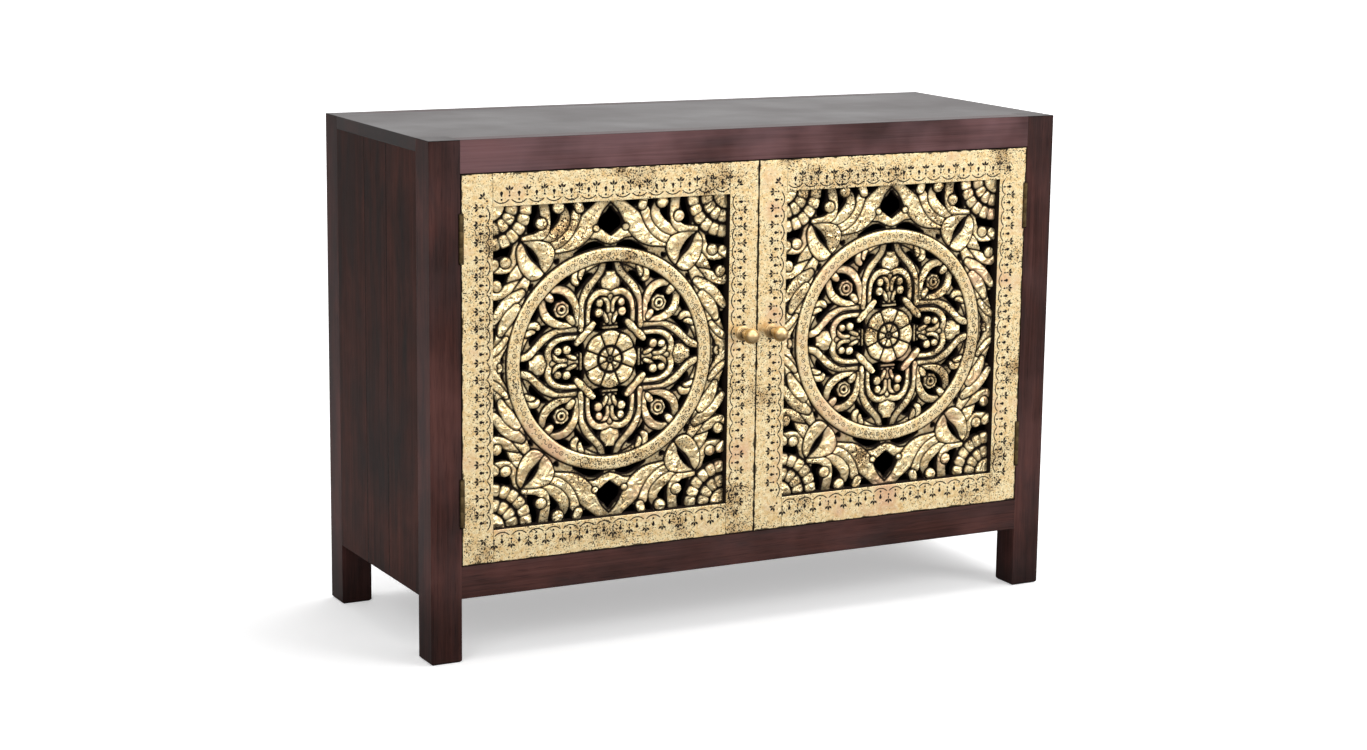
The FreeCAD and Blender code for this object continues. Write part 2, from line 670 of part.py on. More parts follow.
# Beyond the ring they are shares of the window's half width and half height, for one quarter.
ONION_SHARES = (
    (0.0, 0.955), (0.06, 0.905), (0.10, 0.85), (0.05, 0.80), (0.0, 0.765),
    (-0.05, 0.80), (-0.10, 0.85), (-0.06, 0.905),
)
QUARTER_SHARES = (
    ((0.06, 0.70), (0.06, 0.725), (0.17, 0.742), (0.31, 0.675), (0.20, 0.64)),
    ((0.09, 1.0), (0.235, 1.0), (0.225, 0.965), (0.14, 0.95)),
    ((0.31, 1.0), (0.38, 1.0), (0.37, 0.95), (0.325, 0.92)),
    ((0.48, 1.0), (0.52, 1.0), (0.495, 0.92), (0.525, 0.84), (0.425, 0.91), (0.475, 0.94)),
    ((0.60, 1.0), (0.64, 1.0), (0.69, 0.815), (0.59, 0.827), (0.625, 0.875), (0.605, 0.92)),
    ((0.80, 0.735), (0.86, 0.742), (1.0, 0.705), (1.0, 0.67), (0.87, 0.67), (0.815, 0.69)),
    ((0.77, 0.645), (0.86, 0.595), (1.0, 0.59), (1.0, 0.535), (0.93, 0.54), (0.88, 0.51), (0.80, 0.59)),
    ((1.0, 0.47), (0.965, 0.435), (0.935, 0.41), (0.94, 0.36), (1.0, 0.31)),
    ((1.0, 0.265), (0.93, 0.235), (0.865, 0.25), (0.935, 0.19), (1.0, 0.13)),
    ((0.86, 0.12), (0.88, 0.115), (0.92, 0.075), (0.89, 0.03), (0.86, 0.03)),
    ((0.705, 0.75), (0.635, 0.71), (0.60, 0.635), (0.665, 0.675)),
)

# Raised work inside the ring, as shares of its inner radius.
OGEE_BAR_SHARES = (
    (0.34, 0.365), (0.55, 0.37), (0.74, 0.305), (0.86, 0.195), (0.98, 0.12),
    (0.98, 0.04), (0.90, 0.053), (0.70, 0.235), (0.56, 0.295), (0.34, 0.305),
)
ARCH_BAR_SHARES = (
    (0.38, 0.27), (0.53, 0.265), (0.65, 0.22), (0.71, 0.12), (0.655, 0.0),
    (0.60, 0.0), (0.635, 0.11), (0.56, 0.21), (0.38, 0.235),
)
ALMOND_BAR_SHARES = (
    (0.37, 0.39), (0.585, 0.36), (0.71, 0.42), (0.77, 0.545), (0.755, 0.75),
    (0.725, 0.64), (0.66, 0.455), (0.46, 0.40),
)
FINIAL_SHARES = (
    (0.67, 0.0), (0.71, 0.085), (0.78, 0.11), (0.85, 0.07), (0.90, 0.0),
    (0.85, -0.07), (0.78, -0.11), (0.71, -0.085),
)
ALMOND_MIDDLE_SHARE = 0.556
PETAL_COUNT = 8
PETAL_REACH_SHARES = (1.0, 0.99, 0.90, 0.99)
EYE_SIDES = 12
BOSS_SIDES = 10


def flat_outline(shares, across, up):
    """A face in the XZ plane through share points of two lengths."""
    points = [FreeCAD.Vector(across * share[0], 0, up * share[1]) for share in shares]
    return Part.Face(Part.makePolygon(points + points[:1]))


def swapped(shares):
    """The outline reflected in the diagonal."""
    return [(up_share, across_share) for across_share, up_share in shares]


def signed(shares, across_sign, up_sign):
    """The outline reflected in one or both axes."""
    return [(across * across_sign, up * up_sign) for across, up in shares]


def four_quarters(shares):
    return [signed(shares, across, up) for across in (1, -1) for up in (1, -1)]


def eight_sides(shares):
    return four_quarters(shares) + four_quarters(swapped(shares))


def four_axes(shares):
    return [shares, signed(shares, -1, 1), swapped(shares), signed(swapped(shares), 1, -1)]


def disc(radius):
    """A round face in the XZ plane."""
    circle = Part.Circle(FreeCAD.Vector(0, 0, 0), FreeCAD.Vector(0, 1, 0), radius)
    return Part.Face(Part.Wire([circle.toShape()]))


def wheel(radius, reach_shares, repeats):
    """A face in the XZ plane whose corners' reaches repeat round a centre."""
    count = len(reach_shares) * repeats
    angles = [corner * math.tau / count for corner in range(count)]
    corners = [
        (share * math.cos(angle), share * math.sin(angle))
        for share, angle in zip(reach_shares * repeats, angles)
    ]
    return flat_outline(corners, radius, radius)


def piercings(half_width, half_height, ring_outer, ring_inner):
    """Every hole through the ground, trimmed where it meets the ring or the rosette."""
    inside = four_axes(AXIS_HOLE_SHARES)
    for shares in (
        SCROLL_HOLE_SHARES, CORNER_HOLE_SHARES, LEAF_HOLE_SHARES, RING_HOLE_SHARES, ALMOND_HOLE_SHARES,
    ):
        inside += eight_sides(shares)
    heart = disc(size("rosette_radius"))
    field = disc(ring_inner).cut(heart)
    holes = [flat_outline(shares, ring_inner, ring_inner).common(field) for shares in inside]
    outside = [ONION_SHARES, signed(ONION_SHARES, 1, -1)]
    for shares in QUARTER_SHARES:
        outside += four_quarters(shares)
    ring = disc(ring_outer)
    holes += [flat_outline(shares, half_width, half_height).cut(ring) for shares in outside]
    return [face for hole in holes for face in hole.Faces]


def raised_work(ring_outer, ring_inner):
    """Pairs of a flat outline and the height that it stands above the ground."""
    bar_rise = size("bar_rise")
    ring_rise = size("ring_rise")
    rosette = size("rosette_radius")
    work = [(disc(ring_outer).cut(disc(ring_inner)), ring_rise)]
    work.append((wheel(rosette, PETAL_REACH_SHARES, PETAL_COUNT), bar_rise))
    work.append((wheel(size("rosette_eye"), (1,), EYE_SIDES), ring_rise))
    field = disc(ring_inner).cut(disc(rosette))
    for table in (OGEE_BAR_SHARES, ARCH_BAR_SHARES, ALMOND_BAR_SHARES):
        for shares in eight_sides(table):
            work.append((flat_outline(shares, ring_inner, ring_inner).common(field), bar_rise))
    for shares in four_axes(FINIAL_SHARES):
        work.append((flat_outline(shares, ring_inner, ring_inner), bar_rise))
    almond = ring_inner * ALMOND_MIDDLE_SHARE
    for across in (almond, -almond):
        for up in (almond, -almond):
            boss = wheel(size("boss_radius"), (1,), BOSS_SIDES)
            boss.translate(FreeCAD.Vector(across, 0, up))
            work.append((boss, ring_rise))
    return work


def carved_panel():
    """The pierced panel: one board, cut through and carved in relief in front of its ground."""
    half_width = (size("case_width") - 2 * size("post_side") - 3 * size("door_gap")) / 4
    half_width -= size("stile_width")
    half_height = (size("case_height") - size("leg_height")) / 2
    half_height -= size("rail_height") + size("door_gap") + size("door_rail_height")
    lap = size("rebate_width") - size("panel_clear")
    ring_outer = half_width - size("ring_margin")
    ring_inner = ring_outer - size("ring_width")
    ground = size("ground_thick")
    board = Part.makeBox(
        2 * (half_width + lap),
        ground,
        2 * (half_height + lap),
        FreeCAD.Vector(-half_width - lap, 0, -half_height - lap),
    )
    holes = piercings(half_width, half_height, ring_outer, ring_inner)
    through = FreeCAD.Vector(0, ground, 0)
    shape = board.cut([hole.extrude(through) for hole in holes])
    raised = [
        face.extrude(FreeCAD.Vector(0, -rise, 0))
        for outline, rise in raised_work(ring_outer, ring_inner)
        for face in outline.Faces
    ]
    shape = shape.fuse(raised).removeSplitter()
    panel = doc.addObject("Part::Feature", "carved_panel")
    panel.Shape = shape
    place(panel, WINDOW_CENTRE, plus(FACE, "lip_thick"), DOOR_MIDDLE)
    pair(panel, "carved_panel")
    backing_front = f"({FACE} + lip_thick + ground_thick)"
    backing = block(
        (
            f"({WINDOW_LEFT} - rebate_width + panel_clear)",
            f"({WINDOW_RIGHT} + rebate_width - panel_clear)",
        ),
        (backing_front, plus(backing_front, "backing_thick")),
        (
            f"({WINDOW_FOOT} - rebate_width + panel_clear)",
            f"({WINDOW_HEAD} + rebate_width - panel_clear)",
        ),
    )
    pair(backing, "backing_board")


case_posts()
case_rails()
side_planks()
boards()
cleats_and_back()
door_frame()
carved_panel()
hinges()
knob()
catch()

doc.recompute()
for item in doc.Objects:
    if "Invalid" in item.State or "Error" in item.State:
        raise RuntimeError(f"{item.Label} did not build: {item.State}")
for piece in pieces:
    if piece.Shape.isNull() or not piece.Shape.isValid() or not piece.Shape.Solids:
        raise RuntimeError(f"{piece.Label} has no valid solid")

os.makedirs("parts", exist_ok=True)
for piece in pieces:
    piece.Shape.exportStep(f"parts/{piece.Label}.step")
print(f"{len(pieces)} pieces, {sum(len(piece.Shape.Solids) for piece in pieces)} solids")
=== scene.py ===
import math

import bpy
import numpy as np
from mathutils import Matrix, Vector


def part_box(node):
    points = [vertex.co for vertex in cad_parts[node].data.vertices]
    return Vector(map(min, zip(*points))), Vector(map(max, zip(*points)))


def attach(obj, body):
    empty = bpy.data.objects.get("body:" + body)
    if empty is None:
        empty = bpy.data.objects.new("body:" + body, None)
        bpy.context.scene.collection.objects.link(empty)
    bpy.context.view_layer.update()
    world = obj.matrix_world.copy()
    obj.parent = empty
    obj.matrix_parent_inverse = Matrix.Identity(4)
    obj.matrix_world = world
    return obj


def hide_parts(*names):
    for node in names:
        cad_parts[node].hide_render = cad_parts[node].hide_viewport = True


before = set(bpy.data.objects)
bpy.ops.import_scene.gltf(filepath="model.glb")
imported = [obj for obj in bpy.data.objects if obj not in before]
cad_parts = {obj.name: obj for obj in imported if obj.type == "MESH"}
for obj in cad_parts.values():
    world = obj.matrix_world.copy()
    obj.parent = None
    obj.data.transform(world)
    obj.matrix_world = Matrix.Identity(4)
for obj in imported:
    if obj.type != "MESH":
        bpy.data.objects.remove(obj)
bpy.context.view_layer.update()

# The case: posts, rails, planks and boards of a dense hardwood, sawn, planed and glued up. The stain
# is dark walnut under a thin satin lacquer, so the grain is soft streaks and flat faces mirror the
# studio a little. Each board has its own grain and tone, and glue lines show where boards meet.
STAIN_DARK = "22120F"
STAIN_MIDDLE = "4A2C26"
STAIN_RED = "694038"
STAIN_FADE_AND_SHEEN = "836366"
STAIN_GREY = "282120"
GLUE_LINE = "140B08"
GRAIN_ACROSS = 0.006
GRAIN_ALONG = 0.30
# Pores are about 0.3 mm wide; they are drawn 1.5 mm wide, so that they show.
PORE_ACROSS = 0.0015
PORE_ALONG = 0.035
PATCH = 0.16
CLOUD_ACROSS = 0.045
CLOUD_ALONG = 0.20
GLUE_WIDTH = 0.0008
WORN_EDGE = 0.0015
# The feet are painted darker below this height, as painted shade near the floor.
SHADED_FEET_BELOW = 0.13
# Strength of the lacquer's reflection; the top is rubbed to more of a polish than the sides.
DULL_SATIN = 0.05
NEARLY_MATTE = 0.02
RUBBED_TOP = 0.16
# Above this height the upper faces get a grey veil, partly dust and partly a painted sheen of the light
# overhead.
TOP_FACE = 0.7993
TOP_DUST_AND_SHEEN = "3F3A3A"


def linear(hex_colour):
    """The linear colour of an sRGB hex value."""
    channels = [int(hex_colour[place:place + 2], 16) / 255 for place in (0, 2, 4)]
    return [*(((c + 0.055) / 1.055) ** 2.4 if c > 0.04045 else c / 12.92 for c in channels), 1]


def fill(target, inputs):
    """Gives a node's inputs, by name or in the order shown, a value or another node's output."""
    if isinstance(inputs, dict):
        pairs = [(target.inputs[name], value) for name, value in inputs.items()]
    else:
        pairs = list(zip((socket for socket in target.inputs if socket.enabled), inputs))
    for socket, value in pairs:
        if isinstance(value, bpy.types.NodeSocket):
            target.id_data.links.new(value, socket)
        else:
            socket.default_value = value


def node(material, kind, inputs, **settings):
    """Adds a shader node and gives its output. MapRange takes a value, its range and the new range."""
    made = material.node_tree.nodes.new("ShaderNode" + kind)
    for name, value in settings.items():
        setattr(made, name, value)
    fill(made, inputs)
    return next(output for output in made.outputs if output.enabled)


def new_finish(name):
    """A new material, its shader and its coordinates."""
    material = bpy.data.materials.new(name)
    material.use_nodes = True
    coordinates = node(material, "TexCoord", ()).node.outputs
    return material, material.node_tree.nodes["Principled BSDF"], coordinates


def walnut_stain(name, along, tone, low, high, glued, mirrors, fade_and_sheen):
    """Stained hardwood under satin lacquer: low gloss, streaks along one axis, dark glue lines."""
    stain, shader, coordinates = new_finish(name)
    place = coordinates["Object"]
    shift = [37 * tone, 11 * tone, 23 * tone]
    figures = []
    for across, length, offset, look in (
        (GRAIN_ACROSS, GRAIN_ALONG, shift, {"Detail": 5, "Roughness": 0.62, "Distortion": 0.5}),
        (CLOUD_ACROSS, CLOUD_ALONG, shift, {"Detail": 4, "Roughness": 0.55, "Distortion": 0.6}),
        (PORE_ACROSS, PORE_ALONG, (0, 0, 0), {"Detail": 2}),
    ):
        scale = [1 / (length if axis == along else across) for axis in "XYZ"]
        stretched = node(stain, "Mapping", {"Vector": place, "Location": offset, "Scale": scale})
        figures.append(node(stain, "TexNoise", {"Vector": stretched, "Scale": 1, **look}))
    grain, clouds, pores = figures
    moved = node(stain, "Mapping", {"Vector": place, "Location": shift})
    patches = node(stain, "TexNoise", {"Vector": moved, "Scale": 1 / PATCH, "Detail": 3})

    streaks = node(stain, "MapRange", (grain, 0.22, 0.74))
    redness = node(stain, "MapRange", (patches, 0.44, 0.72, 0, 0.35 + 0.25 * tone))
    greyness = node(stain, "MapRange", (clouds, 0.40, 0.66, 0, 0.85))
    pore_dark = node(stain, "MapRange", (pores, 0.30, 0.46, 0.55, 1))
    veiled = node(stain, "MapRange", (patches, 0.35, 0.62, 0.25 * fade_and_sheen, 1.15 * fade_and_sheen))
    streaked = node(stain, "MapRange", (streaks, 0, 1, 0.55, 1.1))
    fade_and_sheen_share = node(stain, "Math", (veiled, streaked), operation="MULTIPLY")
    height = node(stain, "SeparateXYZ", (place,)).node.outputs["Z"]
    # Painted shade: the boards darken towards the floor.
    feet_shade = node(stain, "MapRange", (height, 0.02, SHADED_FEET_BELOW, 0.62, 1))
    facing = node(stain, "SeparateXYZ", (coordinates["Normal"],)).node.outputs[along]
    towards_end = node(stain, "Math", (facing,), operation="ABSOLUTE")
    soaked = node(stain, "MapRange", (towards_end, 0.6, 0.9, 1, 0.35))
    centred = node(stain, "Mapping", {"Vector": place, "Location": (low + high) / -2})
    from_middle = node(stain, "SeparateXYZ", (centred,)).node.outputs[glued]
    out_there = node(stain, "Math", (from_middle,), operation="ABSOLUTE")
    half = (high - low)["XYZ".index(glued)] / 2
    seam = node(stain, "MapRange", (out_there, half - 2 * GLUE_WIDTH, half - GLUE_WIDTH))
    # A grey veil on the top face: dust, and painted sheen.
    topmost = node(stain, "MapRange", (height, TOP_FACE, TOP_FACE + 0.0003, 0, 0.9))
    dust_and_sheen = node(stain, "Math", (topmost, streaked), operation="MULTIPLY")
    colour = linear(STAIN_DARK)
    for share, layer, blend in (
        (streaks, linear(STAIN_MIDDLE), "MIX"), (redness, linear(STAIN_RED), "MIX"),
        (greyness, linear(STAIN_GREY), "MIX"), (1, pore_dark, "MULTIPLY"),
        (fade_and_sheen_share, linear(STAIN_FADE_AND_SHEEN), "MIX"), (1, feet_shade, "MULTIPLY"), (1, soaked, "MULTIPLY"),
        (seam, linear(GLUE_LINE), "MIX"), (dust_and_sheen, linear(TOP_DUST_AND_SHEEN), "MIX"),
    ):
        colour = node(stain, "Mix", (share, colour, layer), data_type="RGBA", blend_type=blend)
    dull = node(stain, "MapRange", (patches, 0.3, 0.7, 0.30, 0.42))
    eased = node(stain, "Bevel", {"Radius": WORN_EDGE}, samples=4)
    raised = node(
        stain, "Bump", {"Strength": 0.25, "Distance": 0.0003, "Height": pores, "Normal": eased},
    )
    fill(shader, {
        "Base Color": colour, "Roughness": dull, "Normal": raised, "Specular IOR Level": mirrors,
    })
    return stain


def dress(name, finish):
    """Gives a CAD node its finish."""
    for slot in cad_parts[name].material_slots:
        slot.material = finish


# The axis of the grain, the axis that the glued edges face, the shine, the share of faded colour (on the
# front top rail partly painted reflection), and the boards.
for along, glued, mirrors, fade_and_sheen, names in (
    ("Z", "Z", DULL_SATIN, 0.1, [
        f"post_{end}_{side}" for end in ("front", "rear") for side in ("left", "right")
    ]),
    ("X", "X", DULL_SATIN, 0.1, (
        "rail_front_bottom", "rail_rear_top", "rail_rear_bottom", "bottom_board", "shelf", "back_panel",
    )),
    # The front top rail's larger share of faded colour is partly real fading and partly a painted
    # reflection that lightens it.
    ("X", "X", DULL_SATIN, 0.6, ("rail_front_top",)),
    ("X", "Z", RUBBED_TOP, 0.1, ("top_board",)),
    ("Z", "Y", NEARLY_MATTE, 0, [
        f"side_plank_{part}_{side}" for side in ("left", "right") for part in ("front", "middle", "rear")
    ]),
    ("Y", "Y", DULL_SATIN, 0, ("shelf_cleat_left", "shelf_cleat_right")),
):
    for place, name in enumerate(names):
        tone = (7 * place + 3 * len(name)) % 10 / 10
        dress(name, walnut_stain(
            f"walnut_stain_{name}", along, tone, *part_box(name), glued, mirrors, fade_and_sheen,
        ))

# Door frames: mortised hardwood stiles and rails. Their faces are gilded with imitation gold leaf over
# a dark ground and antiqued with a wax that stays in every pit, so the pale gold is mottled and full
# of fine black specks. The edges and the back keep the dark ground.
LEAF_PALE = "F6E5B9"
LEAF_GOLD = "D4B179"
LEAF_TAN = "A68252"
LEAF_ROSY = "D3A586"
WAX_DARK = "170F0A"
MOTTLE = 0.007
MOTTLE_DEEP = 0.0008
LEAF_SHEET = 0.07
# Specks are 0.3 to 1 mm; the smallest are drawn 1 mm wide, so that they show.
SPECK = 0.0024
FLAKE = 0.022
# The wax and the bare ground hardly shine.
WAX_SHINE = 0.1
# The gouge leaves facets about this wide, which tilt the leaf and break up what it mirrors.
FACET = 0.016
FACET_DEEP = 0.0085
# The share of that on the planed frames, and on the flat face of the ring.
PLANED = 0.08
WORN_REACH = 0.004
JOINT_CRACK = 0.0009


def gold_leaf(name, darkening, gouged=False):
    """Antiqued leaf: satin metal, mottled and specked; the darkening mask lets the dark ground show, and on
    the carving also paints shade into the crevices.
    """
    leaf, shader, coordinates = new_finish(name)
    figures = []
    for size, detail, rough, drawn_out in (
        (LEAF_SHEET, 3, 0.5, 0), (MOTTLE, 5, 0.7, 0), (SPECK, 2, 0.6, 0), (FACET, 2, 0.4, 0.8),
    ):
        figures.append(node(leaf, "TexNoise", {
            "Vector": coordinates["Object"], "Scale": 1 / size, "Detail": detail, "Roughness": rough,
            "Distortion": drawn_out,
        }))
    sheets, mottle, specks, uneven = figures

    pale = node(leaf, "MapRange", (mottle, 0.34, 0.62))
    rosy = node(leaf, "MapRange", (sheets, 0.56, 0.74, 0, 0.7))
    tan = node(leaf, "MapRange", (sheets, 0.42, 0.26, 0, 0.75))
    density = node(leaf, "Math", (sheets, 0.45, specks), operation="MULTIPLY_ADD")
    specked = node(leaf, "MapRange", (density, 0.63, 0.585))
    hidden = node(leaf, "Math", (specked, darkening(leaf, coordinates)), operation="MAXIMUM")
    colour = linear(LEAF_GOLD)
    for share, layer in ((pale, LEAF_PALE), (rosy, LEAF_ROSY), (tan, LEAF_TAN), (hidden, WAX_DARK)):
        colour = node(leaf, "Mix", (share, colour, linear(layer)), data_type="RGBA")
    metal = node(leaf, "MapRange", (hidden, 0, 1, 0.8, 0))
    dull = node(leaf, "MapRange", (mottle, 0.3, 0.7, 0.40, 0.22))
    duller = node(leaf, "Mix", (hidden, dull, 0.8), data_type="FLOAT")
    facets = PLANED
    if gouged:
        facets = node(leaf, "Attribute", (), attribute_name="gouged").node.outputs["Fac"]
    surface = node(leaf, "Bevel", {"Radius": WORN_EDGE}, samples=4)
    for strength, deep, bumps in ((facets, FACET_DEEP, uneven), (0.35, MOTTLE_DEEP, mottle)):
        surface = node(leaf, "Bump", {
            "Strength": strength, "Distance": deep, "Height": bumps, "Normal": surface,
        })
    fill(shader, {
        "Base Color": colour, "Metallic": metal, "Roughness": duller, "Normal": surface,
        "Specular IOR Level": WAX_SHINE,
    })
    return leaf


def bare_edges(leaf, coordinates):
    """1 on every side but the front, where the leaf ends."""
    facing = node(leaf, "SeparateXYZ", (coordinates["Normal"],)).node.outputs["Y"]
    return node(leaf, "MapRange", (facing, -0.7, -0.3))


def bare_and_worn(side, joints):
    """The frame's bare places: its edges, leaf rubbed off the arrises and, where given, the joints."""
    stile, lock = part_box(f"door_stile_hinge_{side}"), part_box(f"door_stile_lock_{side}")
    outer_low = Vector(min(pair) for pair in zip(stile[0], lock[0]))
    outer_high = Vector(max(pair) for pair in zip(stile[1], lock[1]))
    middle = (outer_low + outer_high) / 2
    joint = (outer_high.x - outer_low.x) / 2 - (stile[1].x - stile[0].x)

    def darkening(leaf, coordinates):
        place = coordinates["Object"]
        centred = node(leaf, "VectorMath", (place, middle), operation="SUBTRACT")
        away = node(leaf, "VectorMath", (centred,), operation="ABSOLUTE")
        parts = node(leaf, "SeparateXYZ", (away,)).node.outputs
        beside = node(leaf, "Math", (outer_high.x - middle.x, parts["X"]), operation="SUBTRACT")
        above = node(leaf, "Math", (outer_high.z - middle.z, parts["Z"]), operation="SUBTRACT")
        from_edge = node(leaf, "Math", (beside, above), operation="MINIMUM")
        flaking = node(
            leaf, "TexNoise", {"Vector": place, "Scale": 1 / FLAKE, "Detail": 6, "Roughness": 0.7},
        )
        reach = node(leaf, "MapRange", (flaking, 0.46, 0.72, 0.0004, WORN_REACH))
        short = node(leaf, "Math", (reach, from_edge), operation="SUBTRACT")
        worn = node(leaf, "MapRange", (short, 0, 0.0006, 0, 0.9))
        bared = node(leaf, "Math", (worn, bare_edges(leaf, coordinates)), operation="MAXIMUM")
        if not joints:
            return bared
        off_joint = node(leaf, "Math", (parts["X"], joint), operation="SUBTRACT")
        near = node(leaf, "Math", (off_joint,), operation="ABSOLUTE")
        crack = node(leaf, "MapRange", (near, JOINT_CRACK, JOINT_CRACK / 2, 0, 0.8))
        return node(leaf, "Math", (crack, bared), operation="MAXIMUM")

    return darkening


for side in ("left", "right"):
    for kind, joints, parts in (
        ("stiles", False, ("door_stile_hinge", "door_stile_lock")),
        ("rails", True, ("door_rail_top", "door_rail_bottom")),
    ):
        framing_leaf = gold_leaf(f"antiqued_leaf_{kind}_{side}", bare_and_worn(side, joints))
        for part in parts:
            dress(f"{part}_{side}", framing_leaf)

# Carved panels: one board each, pierced with a fretsaw and carved with gouges, then gilded like the
# frame. Every bar, leaf and ball has its own rounded face and an outline cut round it, where the
# dark wax stays; that dark, like the darker low ground and the walls of the piercings, is also
# painted shade. One quarter is carved, and the other three and the second door repeat it.
GROUND_THICK = 0.006
# The relief's own sizes are in mm; the ring, rosette, bosses and fans are given as radii.
PITCH = 1.32
RING_INNER = 152
RING_OUTER = 175
RING_RISE = 6.0
ROSETTE = 46
PETALS = 8
EYE = 19
EYE_BALL = 5
EYE_PIT = 1.6
BOSS = 13.5
BOSS_LOBES = 7
BOSS_BALL = 8
BOSS_PIT = 2.4
BOSS_PLACE = 83
FAN_CENTRE = (201, 248)
FAN_DISC = 24
# Each row of the fan's scales, as (inner radius, outer radius, scales in a quarter turn).
FAN_ROWS = ((48, 70, 6), (25, 46.5, 4))
OUTLINE = 1.9
OUTLINE_DEPTH = 4.0
# Within this distance of a piercing or an outline the leaf darkens: dark wax, and painted shade in the
# crevice.
WAX_AND_SHADE_EDGE = 1.8
LOWEST = -2.5
# Grid points nearer a piercing's edge than a share of the pitch move onto it, along the slope that
# is measured over a small step.
SNAPPED = 0.62
SLOPE_STEP = 0.2
# Low places are darkened by wax and painted shade, which clear partly at the ground and fully at the second
# height.
WAX_AND_SHADE_OFF_LOW = 0.44
WAX_AND_SHADE_OFF_RISE = 5.3
# The width of the rounded edge, on a ball and on a bar.
BALL_EDGE = 7
BAR_EDGE = 3.2
# A carved face in shares of its rise: a steep edge, a rounded shoulder, and a dome over 9 mm.
STEEP_SHARE = 0.28
SHOULDER_SHARE = 0.54
DOME_SHARE = 0.18
DOME_EDGE = 9
# Piercings through the board, as (across, up) in mm from the middle of the ring. Those within the
# ring lie on both sides of the diagonal.
PIERCED_WITHIN = (
    ((137, 5), (145, 6.5), (154, 7), (154, -7), (145, -6.5), (137, -5)),
    ((46, 4), (46, 27), (57, 36), (71, 36.5), (84, 33), (93, 24), (97, 14), (92, 3), (80, 2), (62, 7)),
    ((108, 28), (115, 25), (120, 21), (114, 18), (109, 16)),
    ((134, 31), (135.5, 40), (128, 50), (118, 58), (104, 59), (112, 52), (118, 45.5), (126, 38)),
    ((112, 102), (121, 92.5), (129, 82), (138, 68), (131, 64), (122, 74), (119.5, 86), (117, 96)),
    (
        (65, 65), (69, 62.5), (80, 63), (90, 66), (97, 70.5), (103, 78), (107, 90), (107.5, 98),
        (104, 104), (98, 107.5), (90, 107), (78, 103), (70.5, 97), (66, 90), (63, 80), (62.5, 69),
    ),
)
PIERCED_BEYOND = (
    (
        (0, 238), (7, 230), (17, 221), (20, 210), (14, 200), (0, 189.5), (-14, 200), (-20, 210),
        (-17, 221), (-7, 230),
    ),
    ((12, 176), (14, 180), (26, 184), (40, 181), (62, 167), (50, 168), (30, 173)),
    ((18, 252), (47, 252), (46, 240), (38, 236), (27, 238)),
    ((63, 252), (75, 252), (74, 238), (68, 229), (63, 233)),
    ((96, 252), (105, 252), (101, 240), (100, 226), (105.5, 209), (95, 213), (86, 226), (95, 236)),
    ((120, 252), (129, 252), (133, 232), (138, 214), (137, 202), (119, 205), (126, 216), (121, 232)),
    ((162, 181), (173, 184), (190, 181), (204, 175), (204, 166), (188, 168), (176, 170), (165, 168)),
    ((164, 148), (173, 144), (190, 145), (204, 146), (204, 133), (188, 134), (179, 127), (170, 136)),
    ((204, 117), (196, 108), (188, 101), (189, 90), (196, 82), (204, 78)),
    ((204, 66), (196, 61), (186, 58), (187, 48), (194, 38), (204, 32)),
    ((176, 28), (180, 25), (185, 17), (182, 11), (179, 8), (180, 17)),
    ((142, 186.5), (131, 180), (123, 167), (120.5, 156), (129, 162), (137, 173)),
    ((131, 125), (137, 121), (136, 116), (132, 119)),
    ((88, 161), (95, 158), (92, 154), (88, 156)),
)
GROUND_RISE = 2.8
GROUND_EDGE = 3.2
# Strokes of the gouge: how far one stands up, how wide its rounded edge is, how its face leans up or
# down, and its points as (across, up, half width).
WITHIN_RING = (
    (4.6, BAR_EDGE, -0.08, (
        (50, 51, 4.5), (60, 51, 5.3), (75, 50.5, 4.5), (90, 49.5, 4.8), (103, 44.5, 6), (115, 37, 6.5),
        (127, 25.5, 6), (139, 15.5, 6.3), (154, 11.5, 6.3),
    )),
    (5.2, BAR_EDGE, 0, (
        (50, 38, 4), (60, 38, 4.3), (75, 38, 4.3), (89, 35.5, 4.9), (99, 29.5, 5.6), (105, 20.5, 5.8),
        (105, 11, 5.6), (101, -1, 5.2),
    )),
    (4.4, BAR_EDGE, 0.05, ((151, 20, 3), (150, 32, 6), (147, 44, 9), (142, 55, 9), (138, 66, 6))),
    (5.2, 4.0, 0, ((142, 58, 5), (133, 61, 6), (126, 61, 6.2), (122, 57, 5))),
    (5.0, 3.0, 0, ((142, 48, 5), (134, 51, 5), (129, 51, 3.6))),
    (5.4, BAR_EDGE, -0.16, (
        (58, 58, 3), (72, 58.3, 4.2), (85, 59.5, 5.6), (98, 64.5, 7.2), (108.5, 73.5, 7.6),
        (113.5, 85, 7.2), (114, 95, 6.4), (112, 104, 5.5),
    )),
    (3.6, 2.0, 0, ((50, -3, 2.8), (50, 12, 2.8))),
    (3.6, 2.0, 0, ((55.5, -3, 2.6), (55.5, 11, 2.6))),
    (3.4, 3.0, 0, ((60, 0, 7), (68, 0, 6), (80, 0, 4), (98, 0, 5))),
    (4.2, BAR_EDGE, 0, ((60, 6, 4), (68, 9, 4.2), (74, 14, 4.5))),
    (5.8, 5.0, 0, ((73.5, 20, 7.4), (74.5, 20, 7.4))),
    (4.4, BAR_EDGE, 0, ((76, 4, 3.8), (86, 4, 4.2), (93, 8, 4.4), (94, 15, 4.4))),
    (5.4, 4.0, 0, ((88, 18.5, 6.6), (89, 18.5, 6.6))),
    (5.0, 3.5, 0, ((62, 64, 5), (67, 68, 6.5), (70, 71, 5))),
    (5.0, 4.0, 0, ((108, 109, 6), (103, 104, 7), (99, 100, 5.5))),
)
# The collar's face doesn't lean, and the finial is an outline of points (across, up).
COLLAR = (5.8, 2.6, ((29, 57, 5.2), (36, 50, 6.6), (43, 43, 5.4), (50, 36, 6.6), (57, 29, 5.2)))
FINIAL = ((102, 0), (106, 7), (111, 14), (119, 17), (127, 15), (132, 9.5), (138, 7.5), (138, 0),
          (138, -7.5), (132, -9.5), (127, -15), (119, -17), (111, -14), (106, -7))
